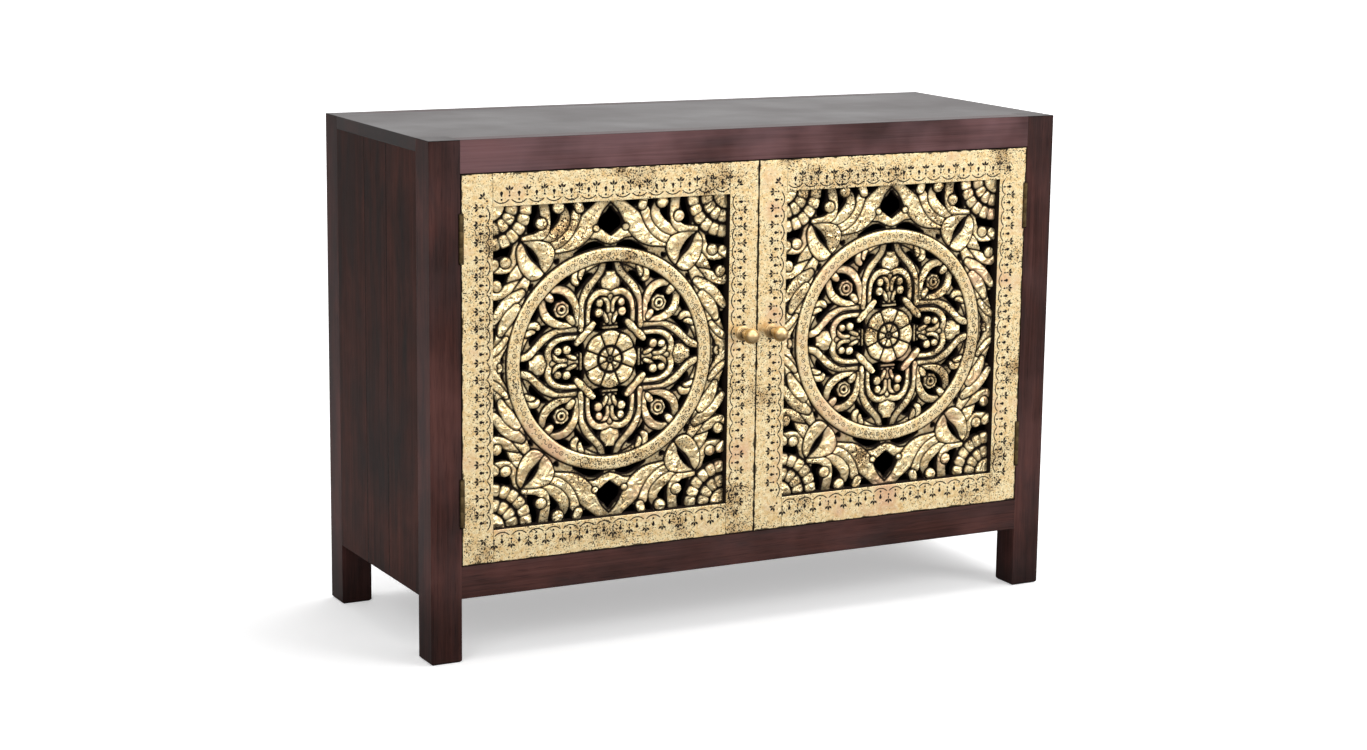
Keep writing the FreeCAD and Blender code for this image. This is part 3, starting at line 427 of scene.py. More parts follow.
# Beyond the ring, for the upper right-hand quarter.
BEYOND_RING = (
    (5.0, BAR_EDGE, 0, ((-8, 184, 6), (0, 185.5, 6.5), (10, 190, 8), (22, 197, 9), (36, 198, 9))),
    (5.0, 6.0, -0.05, (
        (102, 178, 9), (84, 183, 12), (63, 192, 17), (46, 206, 17.5), (34, 221, 14), (20, 238, 10),
        (5, 253, 10),
    )),
    (5.6, 3.0, 0, ((24.5, 205, 5.5), (25.5, 205, 5.5))),
    (5.4, BAR_EDGE, -0.05, (
        (106, 180, 6), (90, 186, 8), (76, 197, 9), (66, 211, 9), (60, 225, 9), (55, 236, 7),
    )),
    (5.9, 5.0, 0, ((53, 237, 8), (56, 244, 8))),
    (5.4, BAR_EDGE, -0.16, (
        (128, 190, 4.5), (112, 192.5, 6.5), (97, 199, 8.5), (86, 208, 9.5), (78, 219, 9.5), (77, 230, 8),
        (81, 239, 6),
    )),
    (6.0, BALL_EDGE, 0, ((88, 240, 10), (89, 241, 10))),
    (5.3, BAR_EDGE, -0.14, (
        (160, 194, 3.5), (142, 195, 5.5), (124, 197, 7), (113, 204, 8), (108.5, 217, 8), (110, 232, 9),
        (113, 252, 9.5),
    )),
    (5.9, 6.0, 0, ((116.5, 217, 9.5), (117.5, 217, 9.5))),
    (4.8, BAR_EDGE, -0.08, (
        (154, 196, 3.5), (159, 184, 5), (161, 170, 7), (166, 158, 9), (177, 153, 10), (190, 154, 10),
        (206, 155, 10),
    )),
    (5.4, 3.5, 0, ((194, 159, 8.5), (200, 155, 9))),
    (5.8, 6.0, 0, ((175.5, 161, 9.2), (176.5, 161, 9.2))),
    (4.8, BAR_EDGE, 0.08, ((149, 160, 5), (153, 149, 9), (160, 138, 11), (166, 129, 9))),
    (5.2, BAR_EDGE, -0.16, (
        (143, 130, 6), (156, 125, 8), (170, 120, 9.5), (184, 114, 8), (195, 110, 6), (199, 116, 5),
    )),
    (5.8, 6.0, 0, ((190, 125.5, 9), (191, 126.5, 9))),
    (4.9, 5.0, 0, (
        (140, 134, 7), (150, 117, 11), (160, 99, 14), (168, 80, 15), (176, 60, 15), (182, 42, 13),
        (189, 27, 12), (193, 14, 10), (193, -6, 10),
    )),
    (5.5, BAR_EDGE, -0.10, (
        (149, 113, 7), (163, 104, 10.5), (177, 94, 10.5), (188, 83, 8.5), (196, 73, 6.5),
    )),
    (5.3, BAR_EDGE, 0.06, ((158, 90, 8), (170, 77, 10.5), (179, 64, 9), (184, 53, 6))),
    (5.2, 2.5, 0, ((175, 44, 5), (184, 34, 6), (192, 27, 6.5), (199, 22, 5.5))),
    (4.4, 2.0, 0, ((184, 1, 4), (186, 4, 4))),
)
# A split pod, hollowed towards the slit between its halves.
POD_SLIT = ((141, 184), (121, 156))
POD = (
    (
        (150, 191), (150, 191), (126, 192), (104, 187), (95, 173), (97, 159), (104, 147), (113, 139),
        (113, 139), (119, 152), (122, 163), (129, 174), (140, 184),
    ),
    (
        (150, 191), (150, 191), (157, 182), (158, 168), (154, 152), (146, 140), (134, 131), (122, 132),
        (111.5, 140), (111.5, 140), (122, 153), (133, 163), (140, 173), (144, 183),
    ),
)


def smooth_line(points, closed=False):
    """A smooth line through the given points, with four steps from one to the next."""
    points = np.array(points, float)
    if closed:
        ends = np.vstack([points[-1], points, points[:2]])
    else:
        ends = np.vstack([2 * points[0] - points[1], points, 2 * points[-1] - points[-2]])
    line = []
    for before, here, there, after in zip(ends, ends[1:], ends[2:], ends[3:]):
        for share in (0, 0.25, 0.5, 0.75):
            line.append(0.5 * (
                2 * here + (there - before) * share
                + (2 * before - 5 * here + 4 * there - after) * share ** 2
                + (3 * here - before - 3 * there + after) * share ** 3
            ))
    return np.array(line if closed else line + [points[-1]])


def inside_stroke(points, across, up):
    """How far each place lies inside a stroke of changing width; less than 0 outside it."""
    line = smooth_line(points)
    deepest = np.full(across.shape, -99.0)
    for (x0, z0, half0), (x1, z1, half1) in zip(line, line[1:]):
        dx, dz = x1 - x0, z1 - z0
        share = np.clip(((across - x0) * dx + (up - z0) * dz) / (dx * dx + dz * dz), 0, 1)
        gap = np.hypot(across - x0 - share * dx, up - z0 - share * dz)
        deepest = np.maximum(deepest, half0 + share * (half1 - half0) - gap)
    return deepest


def inside_outline(points, across, up):
    """How far each place lies inside a smooth closed outline; less than 0 outside it."""
    nearest = np.full(across.shape, 99.0)
    within = np.zeros(across.shape, bool)
    line = smooth_line(points, closed=True)
    for (x0, z0), (x1, z1) in zip(line, np.roll(line, -1, axis=0)):
        dx, dz = x1 - x0, z1 - z0
        length = max(dx * dx + dz * dz, 1e-9)
        share = np.clip(((across - x0) * dx + (up - z0) * dz) / length, 0, 1)
        nearest = np.minimum(nearest, np.hypot(across - x0 - share * dx, up - z0 - share * dz))
        if z0 != z1:
            crosses = (up > min(z0, z1)) & (up <= max(z0, z1))
            within ^= crosses & (across < x0 + (up - z0) / dz * dx)
    return np.where(within, nearest, -nearest)


def relief(across, up):
    """The carved quarter at each place: depth into wood, height in mm and how clear it is of dark wax and
    painted shade.
    """
    wood = np.full(across.shape, 99.0)
    for opening in PIERCED_BEYOND:
        np.minimum(wood, -inside_outline(opening, across, up), out=wood)
    for opening in PIERCED_WITHIN:
        for one_way, other_way in ((across, up), (up, across)):
            np.minimum(wood, -inside_outline(opening, one_way, other_way), out=wood)
    edge_share = np.clip(wood / GROUND_EDGE, 0, 1)
    height = GROUND_RISE * np.sqrt(1 - (1 - edge_share) ** 2)
    # The leaf darkens near each piercing and, below, in each outline: dark wax, and painted shade in the
    # crevices.
    unwaxed_and_lit = 0.85 * np.clip(wood / WAX_AND_SHADE_EDGE, 0, 1)

    def carve(inside, rise, edge, lean=0):
        covered = inside > 0
        rounded = np.sqrt(1 - (1 - np.clip(inside / edge, 0, 1)) ** 2)
        domed = np.sqrt(1 - (1 - np.clip(inside / DOME_EDGE, 0, 1)) ** 2)
        face = rise * (STEEP_SHARE + SHOULDER_SHARE * rounded + DOME_SHARE * domed)
        if lean and covered.any():
            face = np.clip(face + lean * (up - up[covered].mean()), 1, RING_RISE)
        trench = np.clip(1 + inside / OUTLINE, 0, 1)
        np.copyto(height, np.where(covered, face, height - trench * OUTLINE_DEPTH))
        np.copyto(unwaxed_and_lit, np.where(covered, np.clip(inside / WAX_AND_SHADE_EDGE, 0, 1), unwaxed_and_lit * (1 - trench)))
        np.maximum(wood, inside, out=wood)

    for rise, edge, lean, points in BEYOND_RING:
        carve(inside_stroke(points, across, up), rise, edge, lean)
    from_slit = -inside_stroke([(*point, 0) for point in POD_SLIT], across, up)
    for half in POD:
        carve(inside_outline(half, across, up), 1.2 + 4.8 * np.clip(from_slit / 20, 0, 1), edge=2)
    for one_way, other_way in ((across, up), (up, across)):
        ridge = 5.6 - 0.17 * np.abs(other_way)
        carve(inside_outline(FINIAL, one_way, other_way), ridge, edge=2.5)
        for rise, edge, lean, points in WITHIN_RING:
            carve(inside_stroke(points, one_way, other_way), rise, edge, lean)
    rise, edge, points = COLLAR
    carve(inside_stroke(points, across, up), rise, edge)

    from_boss = np.hypot(across - BOSS_PLACE, up - BOSS_PLACE)
    round_boss = np.arctan2(up - BOSS_PLACE, across - BOSS_PLACE)
    carve(BOSS + 0.7 * np.cos(BOSS_LOBES * round_boss) - from_boss, rise=4.6, edge=2)
    carve(BOSS_BALL - from_boss, rise=6, edge=4)
    carve(BOSS_PIT - from_boss, rise=1.5, edge=2)

    radius = np.hypot(across, up)
    angle = np.arctan2(up, across)
    petal = math.tau / PETALS
    off_petal = np.abs((angle + petal / 2) % petal - petal / 2)
    petal_side = radius * np.sin(petal / 2 - off_petal)
    petal_end = ROSETTE - 20 * off_petal ** 2 - radius
    carve(ROSETTE - 1 - radius, rise=0.8, edge=2)
    carve(np.minimum(petal_side - 0.3, petal_end), 4.4 + 0.035 * (radius - EYE), edge=2.5)
    carve(EYE + 2.5 - radius, rise=1.6, edge=2)
    in_eye = np.minimum(EYE - radius, radius - EYE_BALL - 0.5)
    carve(np.minimum(petal_side - 0.2, in_eye), rise=4.8, edge=3)
    carve(EYE_BALL - radius, rise=5.4, edge=3)
    carve(EYE_PIT - radius, rise=1.5, edge=1)

    from_corner = np.hypot(across - FAN_CENTRE[0], up - FAN_CENTRE[1])
    turn = np.arctan2(FAN_CENTRE[1] - up, FAN_CENTRE[0] - across)
    in_fan = (turn > -0.3) & (turn < math.pi / 2 + 0.3)
    carve(np.where(in_fan, FAN_ROWS[0][1] - 2.5 - from_corner, -99), rise=0.8, edge=2)
    for inner, outer, cells in FAN_ROWS:
        cell = math.pi / 2 / cells
        sideways = (turn % cell / cell - 0.5) * 2
        outwards = (2 * from_corner - inner - outer) / (outer - inner)
        from_middle = (np.abs(sideways) ** 4 + np.abs(outwards) ** 4) ** (1 / 4)
        scale = (1 - from_middle) * min(outer - inner, inner * cell) / 2 + 0.4
        face = 5.0 + 0.9 * np.sin(2.3 * np.floor(turn / cell) + cells)
        carve(np.where(in_fan, scale, -99), face, edge=4)
    carve(FAN_DISC - from_corner, rise=4.8, edge=4)

    carve(np.minimum(radius - RING_INNER, RING_OUTER - radius), RING_RISE, edge=2.2)
    hidden = np.maximum(across - FAN_CENTRE[0], up - FAN_CENTRE[1])
    height[hidden > 0] = 0
    unwaxed_and_lit[hidden > 0] = 0
    np.maximum(wood, hidden + 0.4, out=wood)
    return wood, np.clip(height, LOWEST, RING_RISE), unwaxed_and_lit


def softened(values, columns):
    """Values on the grid eased towards their neighbours, as worn gouge cuts are."""
    grid = values.reshape(-1, columns)
    padded = np.pad(grid, 1, mode="edge")
    beside = padded[1:-1, :-2] + padded[1:-1, 2:] + padded[:-2, 1:-1] + padded[2:, 1:-1]
    return (0.5 * grid + 0.125 * beside).ravel()


def waxed_and_shaded_crevices(leaf, coordinates):
    """1 in the outlines, on the walls of the piercings and partly on the low ground, from the carving's own
    attribute: dark wax and painted shade.
    """
    unwaxed_and_lit = node(leaf, "Attribute", (), attribute_name="clean_of_wax").node.outputs["Fac"]
    return node(leaf, "MapRange", (unwaxed_and_lit, 0.94, 0.30))


carving_leaf = gold_leaf("antiqued_leaf_carving", waxed_and_shaded_crevices, gouged=True)
windows = {}
for side, before, after in (("left", "hinge", "lock"), ("right", "lock", "hinge")):
    windows[side] = (
        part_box(f"door_stile_{before}_{side}")[1].x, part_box(f"door_stile_{after}_{side}")[0].x,
        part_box(f"door_rail_bottom_{side}")[1].z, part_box(f"door_rail_top_{side}")[0].z,
    )
low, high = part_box("carved_panel_left")
half_x, half_z = (high.x - low.x) / 2, (high.z - low.z) / 2
columns, rows = round(half_x * 1000 / PITCH), round(half_z * 1000 / PITCH)
bpy.ops.object.select_all(action="DESELECT")
bpy.ops.mesh.primitive_grid_add(x_subdivisions=columns, y_subdivisions=rows, size=1)
left_carving = bpy.context.object
left_carving.name = "carving_left"
mesh = left_carving.data
flat = np.empty(len(mesh.vertices) * 3)
mesh.vertices.foreach_get("co", flat)
flat = flat.reshape(-1, 3)
across = (flat[:, 0] + 0.5) * half_x * 1000
up = (flat[:, 1] + 0.5) * half_z * 1000
wood = relief(across, up)[0]
slope_x = (relief(across + SLOPE_STEP, up)[0] - wood) / SLOPE_STEP
slope_z = (relief(across, up + SLOPE_STEP)[0] - wood) / SLOPE_STEP
steep = np.maximum(slope_x ** 2 + slope_z ** 2, 0.25)
at_edge = (np.abs(wood) < SNAPPED * PITCH) & (across > 0.1) & (up > 0.1)
across -= np.where(at_edge, wood * slope_x / steep, 0)
up -= np.where(at_edge, wood * slope_z / steep, 0)
wood, height, unwaxed_and_lit = relief(across, up)
height, unwaxed_and_lit = softened(height, columns + 1), softened(unwaxed_and_lit, columns + 1)
# Lower places are darker still: painted shade that deepens towards the ground, with the wax.
unwaxed_and_lit *= np.clip(WAX_AND_SHADE_OFF_LOW + (1 - WAX_AND_SHADE_OFF_LOW) * height / WAX_AND_SHADE_OFF_RISE, 0, 1)
wood[at_edge] = 0
depth = high.y - GROUND_THICK - height / 1000
mesh.vertices.foreach_set("co", np.column_stack([across / 1000, depth, up / 1000]).ravel())
radius = np.hypot(across, up)
on_ring = (radius > RING_INNER) & (radius < RING_OUTER)
for name, values in (("clean_of_wax", unwaxed_and_lit), ("gouged", np.where(on_ring, PLANED, 1))):
    mesh.attributes.new(name, "FLOAT", "POINT").data.foreach_set("value", values)

bpy.ops.object.mode_set(mode="EDIT")
bpy.ops.mesh.select_all(action="DESELECT")
bpy.ops.object.mode_set(mode="OBJECT")
corners = np.empty(len(mesh.loops), int)
mesh.loops.foreach_get("vertex_index", corners)
pierced = wood[corners].reshape(-1, 4).max(axis=1) <= 0.02
mesh.polygons.foreach_set("select", pierced)
bpy.ops.object.mode_set(mode="EDIT")
bpy.ops.mesh.select_mode(type="FACE")
bpy.ops.mesh.delete(type="FACE")
bpy.ops.mesh.select_all(action="SELECT")
bpy.ops.mesh.delete_loose()
bpy.ops.object.mode_set(mode="OBJECT")

mirror = left_carving.modifiers.new("other_quarters", "MIRROR")
mirror.use_axis = (True, False, True)
mirror.merge_threshold = 0.0001
bpy.ops.object.modifier_apply(modifier=mirror.name)
bpy.ops.object.mode_set(mode="EDIT")
bpy.ops.mesh.select_mode(type="EDGE")
bpy.ops.mesh.select_all(action="DESELECT")
bpy.ops.mesh.select_non_manifold(
    extend=False, use_wire=False, use_boundary=True, use_multi_face=False,
    use_non_contiguous=False, use_verts=False,
)
bpy.ops.mesh.extrude_edges_move()
bpy.ops.transform.resize(value=(1, 0, 1), center_override=(0, high.y, 0))
bpy.ops.mesh.fill()
bpy.ops.mesh.select_all(action="SELECT")
bpy.ops.mesh.normals_make_consistent(inside=False)
left, right, foot, head = windows["left"]
bpy.ops.transform.translate(value=((left + right) / 2, 0, (foot + head) / 2))
bpy.ops.object.mode_set(mode="OBJECT")
# The back isn't gilded.
mesh = left_carving.data
wax = mesh.attributes["clean_of_wax"].data
for place, vertex in enumerate(mesh.vertices):
    if vertex.co.y > high.y - 0.0001:
        wax[place].value = 0
bpy.ops.object.shade_smooth_by_angle(angle=math.radians(55))
left_carving.data.materials.append(carving_leaf)
bpy.ops.object.duplicate()
right_carving = bpy.context.object
right_carving.name = "carving_right"
to_right = (sum(windows["right"][:2]) - left - right) / 2
bpy.ops.transform.translate(value=(to_right, 0, 0))
bpy.ops.object.transform_apply()
for carving, side in ((left_carving, "left"), (right_carving, "right")):
    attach(carving, f"{side}_door")
    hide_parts(f"carved_panel_{side}")

# The stamped borders: a scallop, a drop and a leaf, struck again and again along each side of the
# window with line punches and filled with dark wax. One stamp is modelled and copied round; its
# lines stand only a hair above the leaf, so that both show.
STAMP_LINE = 0.0018
STAMP_THICK = 0.0003
STAMP_PROUD = 0.00012
SCALLOP_RADIUS = 0.01595
SCALLOP_NEAR = 0.0047
SCALLOP_FAR = 0.0101
SCALLOP_SIDES = 64
HALF_STAMP = 0.01305
STAMPS_UP = 19
STAMPS_ACROSS = 14
UPRIGHT = (math.pi / 2, 0, 0)
# Outlines in mm, each from its foot outwards.
DROP = (
    (1.1, 0), (1.3, 2.8), (2.7, 4.6), (2.2, 6.9), (0, 8.4),
    (-2.2, 6.9), (-2.7, 4.6), (-1.3, 2.8), (-1.1, 0),
)
LEAF = ((0, 1.0), (1.0, 2.6), (2.0, 5.2), (0, 9.0), (-2.0, 5.2), (-1.0, 2.6))
STALK = ((0.9, 0), (0.9, 4.4), (-0.9, 4.4), (-0.9, 0))
DOT = (
    (1.8, 0), (1.27, 1.27), (0, 1.8), (-1.27, 1.27), (-1.8, 0), (-1.27, -1.27), (0, -1.8), (1.27, -1.27),
)
SPRIG_TURNS = (-0.85, 0, 0.85)
# What each stamp leaves beside its scallop, as (outline, across, up in metres, turn).
STAMP_MARKS = (
    (DOT, 0, 0.0100), (DROP, 0, 0.0145), (DOT, HALF_STAMP, 0.0160), (STALK, HALF_STAMP, 0.0188),
    *((LEAF, HALF_STAMP, 0.0230, turn) for turn in SPRIG_TURNS),
)
CORNER_MARKS = (
    (DOT, 0, 0.0130), (STALK, 0, 0.0165), *((LEAF, 0, 0.0205, turn) for turn in SPRIG_TURNS),
)
WAX_THIN = "6B5334"
WAX_PATCH = 0.005


def stamped_wax(name):
    """Dark wax in stamped lines: nearly black brown and dull, worn thin here and there."""
    wax, shader, coordinates = new_finish(name)
    place = coordinates["Object"]
    wear = node(wax, "TexNoise", {"Vector": place, "Scale": 1 / WAX_PATCH, "Detail": 3})
    thin = node(wax, "MapRange", (wear, 0.64, 0.9))
    colour = node(wax, "Mix", (thin, linear(WAX_DARK), linear(WAX_THIN)), data_type="RGBA")
    fill(shader, {"Base Color": colour, "Roughness": 0.6, "Specular IOR Level": 0.15})
    return wax


def closed():
    """Turns all faces of the piece in hand outwards and leaves edit mode."""
    bpy.ops.mesh.select_all(action="SELECT")
    bpy.ops.mesh.normals_make_consistent(inside=False)
    bpy.ops.object.mode_set(mode="OBJECT")
    return bpy.context.object


def flat_ring(sides, outer, inner, centre, rotation=(0, 0, 0)):
    """Starts a piece as a flat ring, and stays in edit mode."""
    bpy.ops.mesh.primitive_circle_add(
        vertices=sides, radius=outer, location=centre, rotation=rotation,
    )
    bpy.ops.object.transform_apply()
    bpy.ops.object.mode_set(mode="EDIT")
    bpy.ops.mesh.select_all(action="SELECT")
    bpy.ops.mesh.extrude_edges_move()
    bpy.ops.transform.resize(value=[inner / outer] * 3, center_override=centre)


def thickened():
    """Gives the flat outline in hand its thickness, behind it."""
    bpy.ops.mesh.select_all(action="SELECT")
    bpy.ops.mesh.extrude_region_move(TRANSFORM_OT_translate={"value": (0, STAMP_THICK, 0)})
    return closed()


def ring_line(radius, line, across, up, sides, cut_at=None, keep_low=True):
    """A ring in the XZ plane, or only the arc of it below or above a level."""
    flat_ring(sides, radius + line / 2, radius - line / 2, (across, 0, up), UPRIGHT)
    if cut_at is not None:
        bpy.ops.mesh.select_all(action="SELECT")
        bpy.ops.mesh.bisect(
            plane_co=(0, 0, cut_at), plane_no=(0, 0, 1), clear_outer=keep_low, clear_inner=not keep_low,
        )
    return thickened()


def filled_line(outline, across, up, turn=0):
    """A small filled shape in the XZ plane, turned about its foot."""
    bpy.ops.mesh.primitive_circle_add(
        vertices=len(outline), radius=0.001, fill_type="NGON", rotation=UPRIGHT,
    )
    bpy.ops.object.transform_apply()
    for vertex, (aside, out) in zip(bpy.context.object.data.vertices, outline):
        turned_across = aside * math.cos(turn) + out * math.sin(turn)
        turned_up = out * math.cos(turn) - aside * math.sin(turn)
        vertex.co = (across + turned_across / 1000, 0, up + turned_up / 1000)
    bpy.ops.object.mode_set(mode="EDIT")
    return thickened()


def joined(pieces, name):
    """One object of several pieces, at the origin."""
    bpy.ops.object.select_all(action="DESELECT")
    for piece in pieces:
        piece.select_set(True)
    bpy.context.view_layer.objects.active = pieces[0]
    bpy.ops.object.join()
    bpy.ops.object.transform_apply()
    bpy.context.object.name = name
    return bpy.context.object


def struck(stamp, turn, first, last, count):
    """Copies of a stamp, evenly spaced between two places and turned to face one way."""
    copies = []
    for place in range(count):
        share = (place + 0.5) / count
        bpy.ops.object.select_all(action="DESELECT")
        stamp.select_set(True)
        bpy.context.view_layer.objects.active = stamp
        bpy.ops.object.duplicate()
        bpy.ops.transform.rotate(value=turn, orient_axis="Y", center_override=(0, 0, 0))
        bpy.ops.transform.translate(value=Vector(first).lerp(Vector(last), share))
        copies.append(bpy.context.object)
    return copies


scallop = ring_line(
    SCALLOP_RADIUS, STAMP_LINE, 0, SCALLOP_NEAR + SCALLOP_RADIUS, SCALLOP_SIDES, cut_at=SCALLOP_FAR,
)
stamp = joined([scallop, *(filled_line(*mark) for mark in STAMP_MARKS)], "border_stamp")
corner_stamp = joined([filled_line(*mark) for mark in CORNER_MARKS], "corner_stamp")
line_wax = stamped_wax("dark_wax_in_stamped_lines")
stamp.data.materials.append(line_wax)
corner_stamp.data.materials.append(line_wax)
for side, (left, right, foot, head) in windows.items():
    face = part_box(f"door_stile_lock_{side}")[0].y - STAMP_PROUD
    copies = struck(stamp, 0, (left, face, head), (right, face, head), STAMPS_ACROSS)
    copies += struck(stamp, math.pi, (left, face, foot), (right, face, foot), STAMPS_ACROSS)
    copies += struck(stamp, -math.pi / 2, (right, face, foot), (right, face, head), STAMPS_UP)
    copies += struck(stamp, math.pi / 2, (left, face, foot), (left, face, head), STAMPS_UP)
    for turn, corner in (
        (0.25, (right, face, head)), (0.75, (right, face, foot)),
        (-0.75, (left, face, foot)), (-0.25, (left, face, head)),
    ):
        copies += struck(corner_stamp, -turn * math.pi, corner, corner, 1)
    border = joined(copies, f"stamped_border_{side}")
    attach(border, f"{side}_door")
bpy.data.objects.remove(stamp)
bpy.data.objects.remove(corner_stamp)

# The carved rings carry small stamped circles and curls all round, struck after the gilding and
# filled with the same wax. They are copies of one circle, its dot and one curl of two arcs.
RING_MIDDLE = 0.1635
RING_STAMPS = 44
RING_LINE = 0.0010
RING_SIDES = 14
CIRCLE = 0.0030
CIRCLE_PLACE = -0.0055
CURL = 0.0024
CURL_PLACES = (0.0030, 0.0078)
PRICK_OFF = 0.0055
PRICK = ((1.1, 0), (0, 1.1), (-1.1, 0), (0, -1.1))
ring_stamp = joined(
    [
        ring_line(CIRCLE, RING_LINE, CIRCLE_PLACE, RING_MIDDLE, RING_SIDES),
        filled_line(PRICK, CIRCLE_PLACE, RING_MIDDLE),
        ring_line(CURL, RING_LINE, CURL_PLACES[0], RING_MIDDLE, RING_SIDES, RING_MIDDLE, keep_low=False),
        ring_line(CURL, RING_LINE, CURL_PLACES[1], RING_MIDDLE, RING_SIDES, RING_MIDDLE),
        filled_line(PRICK, CURL_PLACES[0], RING_MIDDLE - PRICK_OFF),
        filled_line(PRICK, CURL_PLACES[1], RING_MIDDLE + PRICK_OFF),
    ],
    "ring_stamp",
)
ring_stamp.data.materials.append(line_wax)
for side, (left, right, foot, head) in windows.items():
    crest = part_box(f"carved_panel_{side}")[0].y - STAMP_PROUD
    centre = ((left + right) / 2, crest, (foot + head) / 2)
    marks = []
    for place in range(RING_STAMPS):
        marks += struck(ring_stamp, place * math.tau / RING_STAMPS, centre, centre, 1)
    ring_marks = joined(marks, f"stamped_ring_{side}")
    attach(ring_marks, f"{side}_door")
bpy.data.objects.remove(ring_stamp)

# Knobs: solid brass, turned in one piece as a ball on a waisted neck with a beaded collar, seated on
# a stepped rose. The ball is rubbed to a satin shine by hands; brown patina stays in the grooves.
BRASS_BRIGHT = "B69C72"
BRASS_BROWN = "6C5436"
BRASS_DARK = "2E2114"
# Steps of the turning in mm, as (distance in front of the door, radius).
ROSE_STEPS = (
    (0, 11.8), (0.4, 12), (1.3, 12), (1.8, 11.6), (2, 10.6), (2.3, 10.3), (2.9, 10.2), (3.4, 9.7), (4, 8.6),
)
KNOB_STEPS = (
    (4.0, 7.6), (4.3, 8.6), (4.9, 9.3), (5.7, 9.5), (6.5, 9.3), (7.1, 8.6), (7.4, 7.4), (7.6, 7.2),
    (7.9, 7.8), (8.5, 8.2), (9.1, 7.9), (9.5, 6.9), (10.6, 6.2), (12.4, 5.8), (14.4, 5.9), (16.2, 6.4),
    (17.0, 6.7), (17.2, 7.6), (17.9, 8.1), (18.6, 7.7), (18.9, 6.9), (19.2, 6.5),
)
KNOB_GROOVES = (4.1, 7.5, 9.6, 17.0, 19.1)
BALL_RADIUS = 12.5
BALL_OUT = 30
BALL_STEPS = 14
# Where the ball leaves its neck, as an angle from the axis.
BALL_START = 0.70


def aged_metal(name, bright, brown, rough, patch_scale, grooves=()):
    """Rubbed metal: bright where hands reach, brown patina in clouds, dark in the turned grooves."""
    metal, shader, coordinates = new_finish(name)
    place = coordinates["Object"]
    clouds = node(
        metal, "TexNoise", {"Vector": place, "Scale": patch_scale, "Detail": 6, "Roughness": 0.65},
    )
    browned = node(metal, "MapRange", (clouds, 0.44, 0.66, 0, 0.75))
    colour = node(metal, "Mix", (browned, linear(bright), linear(brown)), data_type="RGBA")
    out = node(metal, "SeparateXYZ", (place,)).node.outputs["Y"]
    for groove in grooves:
        away = node(metal, "Math", (out, groove), operation="SUBTRACT")
        near = node(metal, "Math", (away,), operation="ABSOLUTE")
        filled = node(metal, "MapRange", (near, 0.0007, 0.0002))
        colour = node(metal, "Mix", (filled, colour, linear(BRASS_DARK)), data_type="RGBA")
    dull = node(metal, "MapRange", (clouds, 0.35, 0.7, rough, rough + 0.22))
    raised = node(metal, "Bump", {"Strength": 0.2, "Distance": 0.0002, "Height": clouds})
    fill(shader, {"Base Color": colour, "Metallic": 1, "Roughness": dull, "Normal": raised})
    return metal


def turned(name, steps, across, face, up, sides=48):
    """A piece turned about an axis square to the door, from (distance, radius) steps in mm."""
    out, radius = steps[0]
    bpy.ops.mesh.primitive_circle_add(
        vertices=sides, radius=radius / 1000, fill_type="NGON",
        location=(across, face - out / 1000, up), rotation=UPRIGHT,
    )
    piece = bpy.context.object
    piece.name = name
    bpy.ops.object.transform_apply()
    bpy.ops.object.mode_set(mode="EDIT")
    bpy.ops.mesh.select_all(action="SELECT")
    for (out_before, before), (out, radius) in zip(steps, steps[1:]):
        bpy.ops.mesh.extrude_region_move(
            TRANSFORM_OT_translate={"value": (0, (out_before - out) / 1000, 0)}
        )
        share = radius / before
        bpy.ops.transform.resize(value=(share, 1, share), center_override=(across, 0, up))
    closed()
    bpy.ops.object.shade_smooth_by_angle(angle=math.radians(40))
    return piece


ball = []
for step in range(BALL_STEPS):
    angle = BALL_START + (math.pi - BALL_START) * step / BALL_STEPS
    ball.append((BALL_OUT - BALL_RADIUS * math.cos(angle), BALL_RADIUS * math.sin(angle)))
ball.append((BALL_OUT + BALL_RADIUS, 0.4))
door_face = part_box("door_stile_lock_left")[0].y
grooves = [door_face - groove / 1000 for groove in KNOB_GROOVES]
knob_brass = aged_metal("satin_brass_rubbed_by_hands", BRASS_BRIGHT, BRASS_BROWN, 0.24, 90, grooves)
for side in ("left", "right"):
    low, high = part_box(f"knob_{side}")
    across, up = (low.x + high.x) / 2, (low.z + high.z) / 2
    knob = turned(f"ball_knob_{side}", (*KNOB_STEPS, *ball), across, door_face, up)
    rose = turned(f"stepped_rose_{side}", ROSE_STEPS, across, door_face, up)
    for piece, cad_name in ((knob, f"knob_{side}"), (rose, f"knob_rose_{side}")):
        piece.data.materials.append(knob_brass)
        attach(piece, f"{side}_door")
        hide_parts(cad_name)

# Butt hinges: two to a door, brass gone dull. Each has two leaves let in flush, three knuckles on a
# pin with a domed button, and countersunk screws with slotted heads. Only the barrel shows when the
# door is shut.
HINGE_LONG = 0.072
KNUCKLES = 3
KNUCKLE_GAP = 0.0002
BARREL_RADIUS = 0.0035
EASED = 0.0003
# The gap between door and post; the barrels' axis is in its middle.
DOOR_GAP = 0.002
PIN_RADIUS = 0.0016
PIN_PLAY = 1.03
BUTTON = 0.0016
BUTTON_DOME = 0.0007
LEAF_THICK = 0.0018
LEAF_BACK = 0.0002
SCREW_SPREAD = 0.022
SCREW_HEAD = 0.003
SCREW_SHANK = 0.0015
SCREW_LENGTH = 0.016
SLOT_WIDE = 0.0008
SLOT_DEEP = 0.0007
hinge_brass = aged_metal("aged_brass_hinge", "51432C", "2F2418", 0.5, 160)


def rounded(width, segments):
    """Rounds the sharp edges of the active piece."""
    piece = bpy.context.object
    bevel = piece.modifiers.new("rounded", "BEVEL")
    bevel.width = width
    bevel.segments = segments
    bevel.angle_limit = math.radians(50)
    bpy.ops.object.modifier_apply(modifier=bevel.name)
    return piece


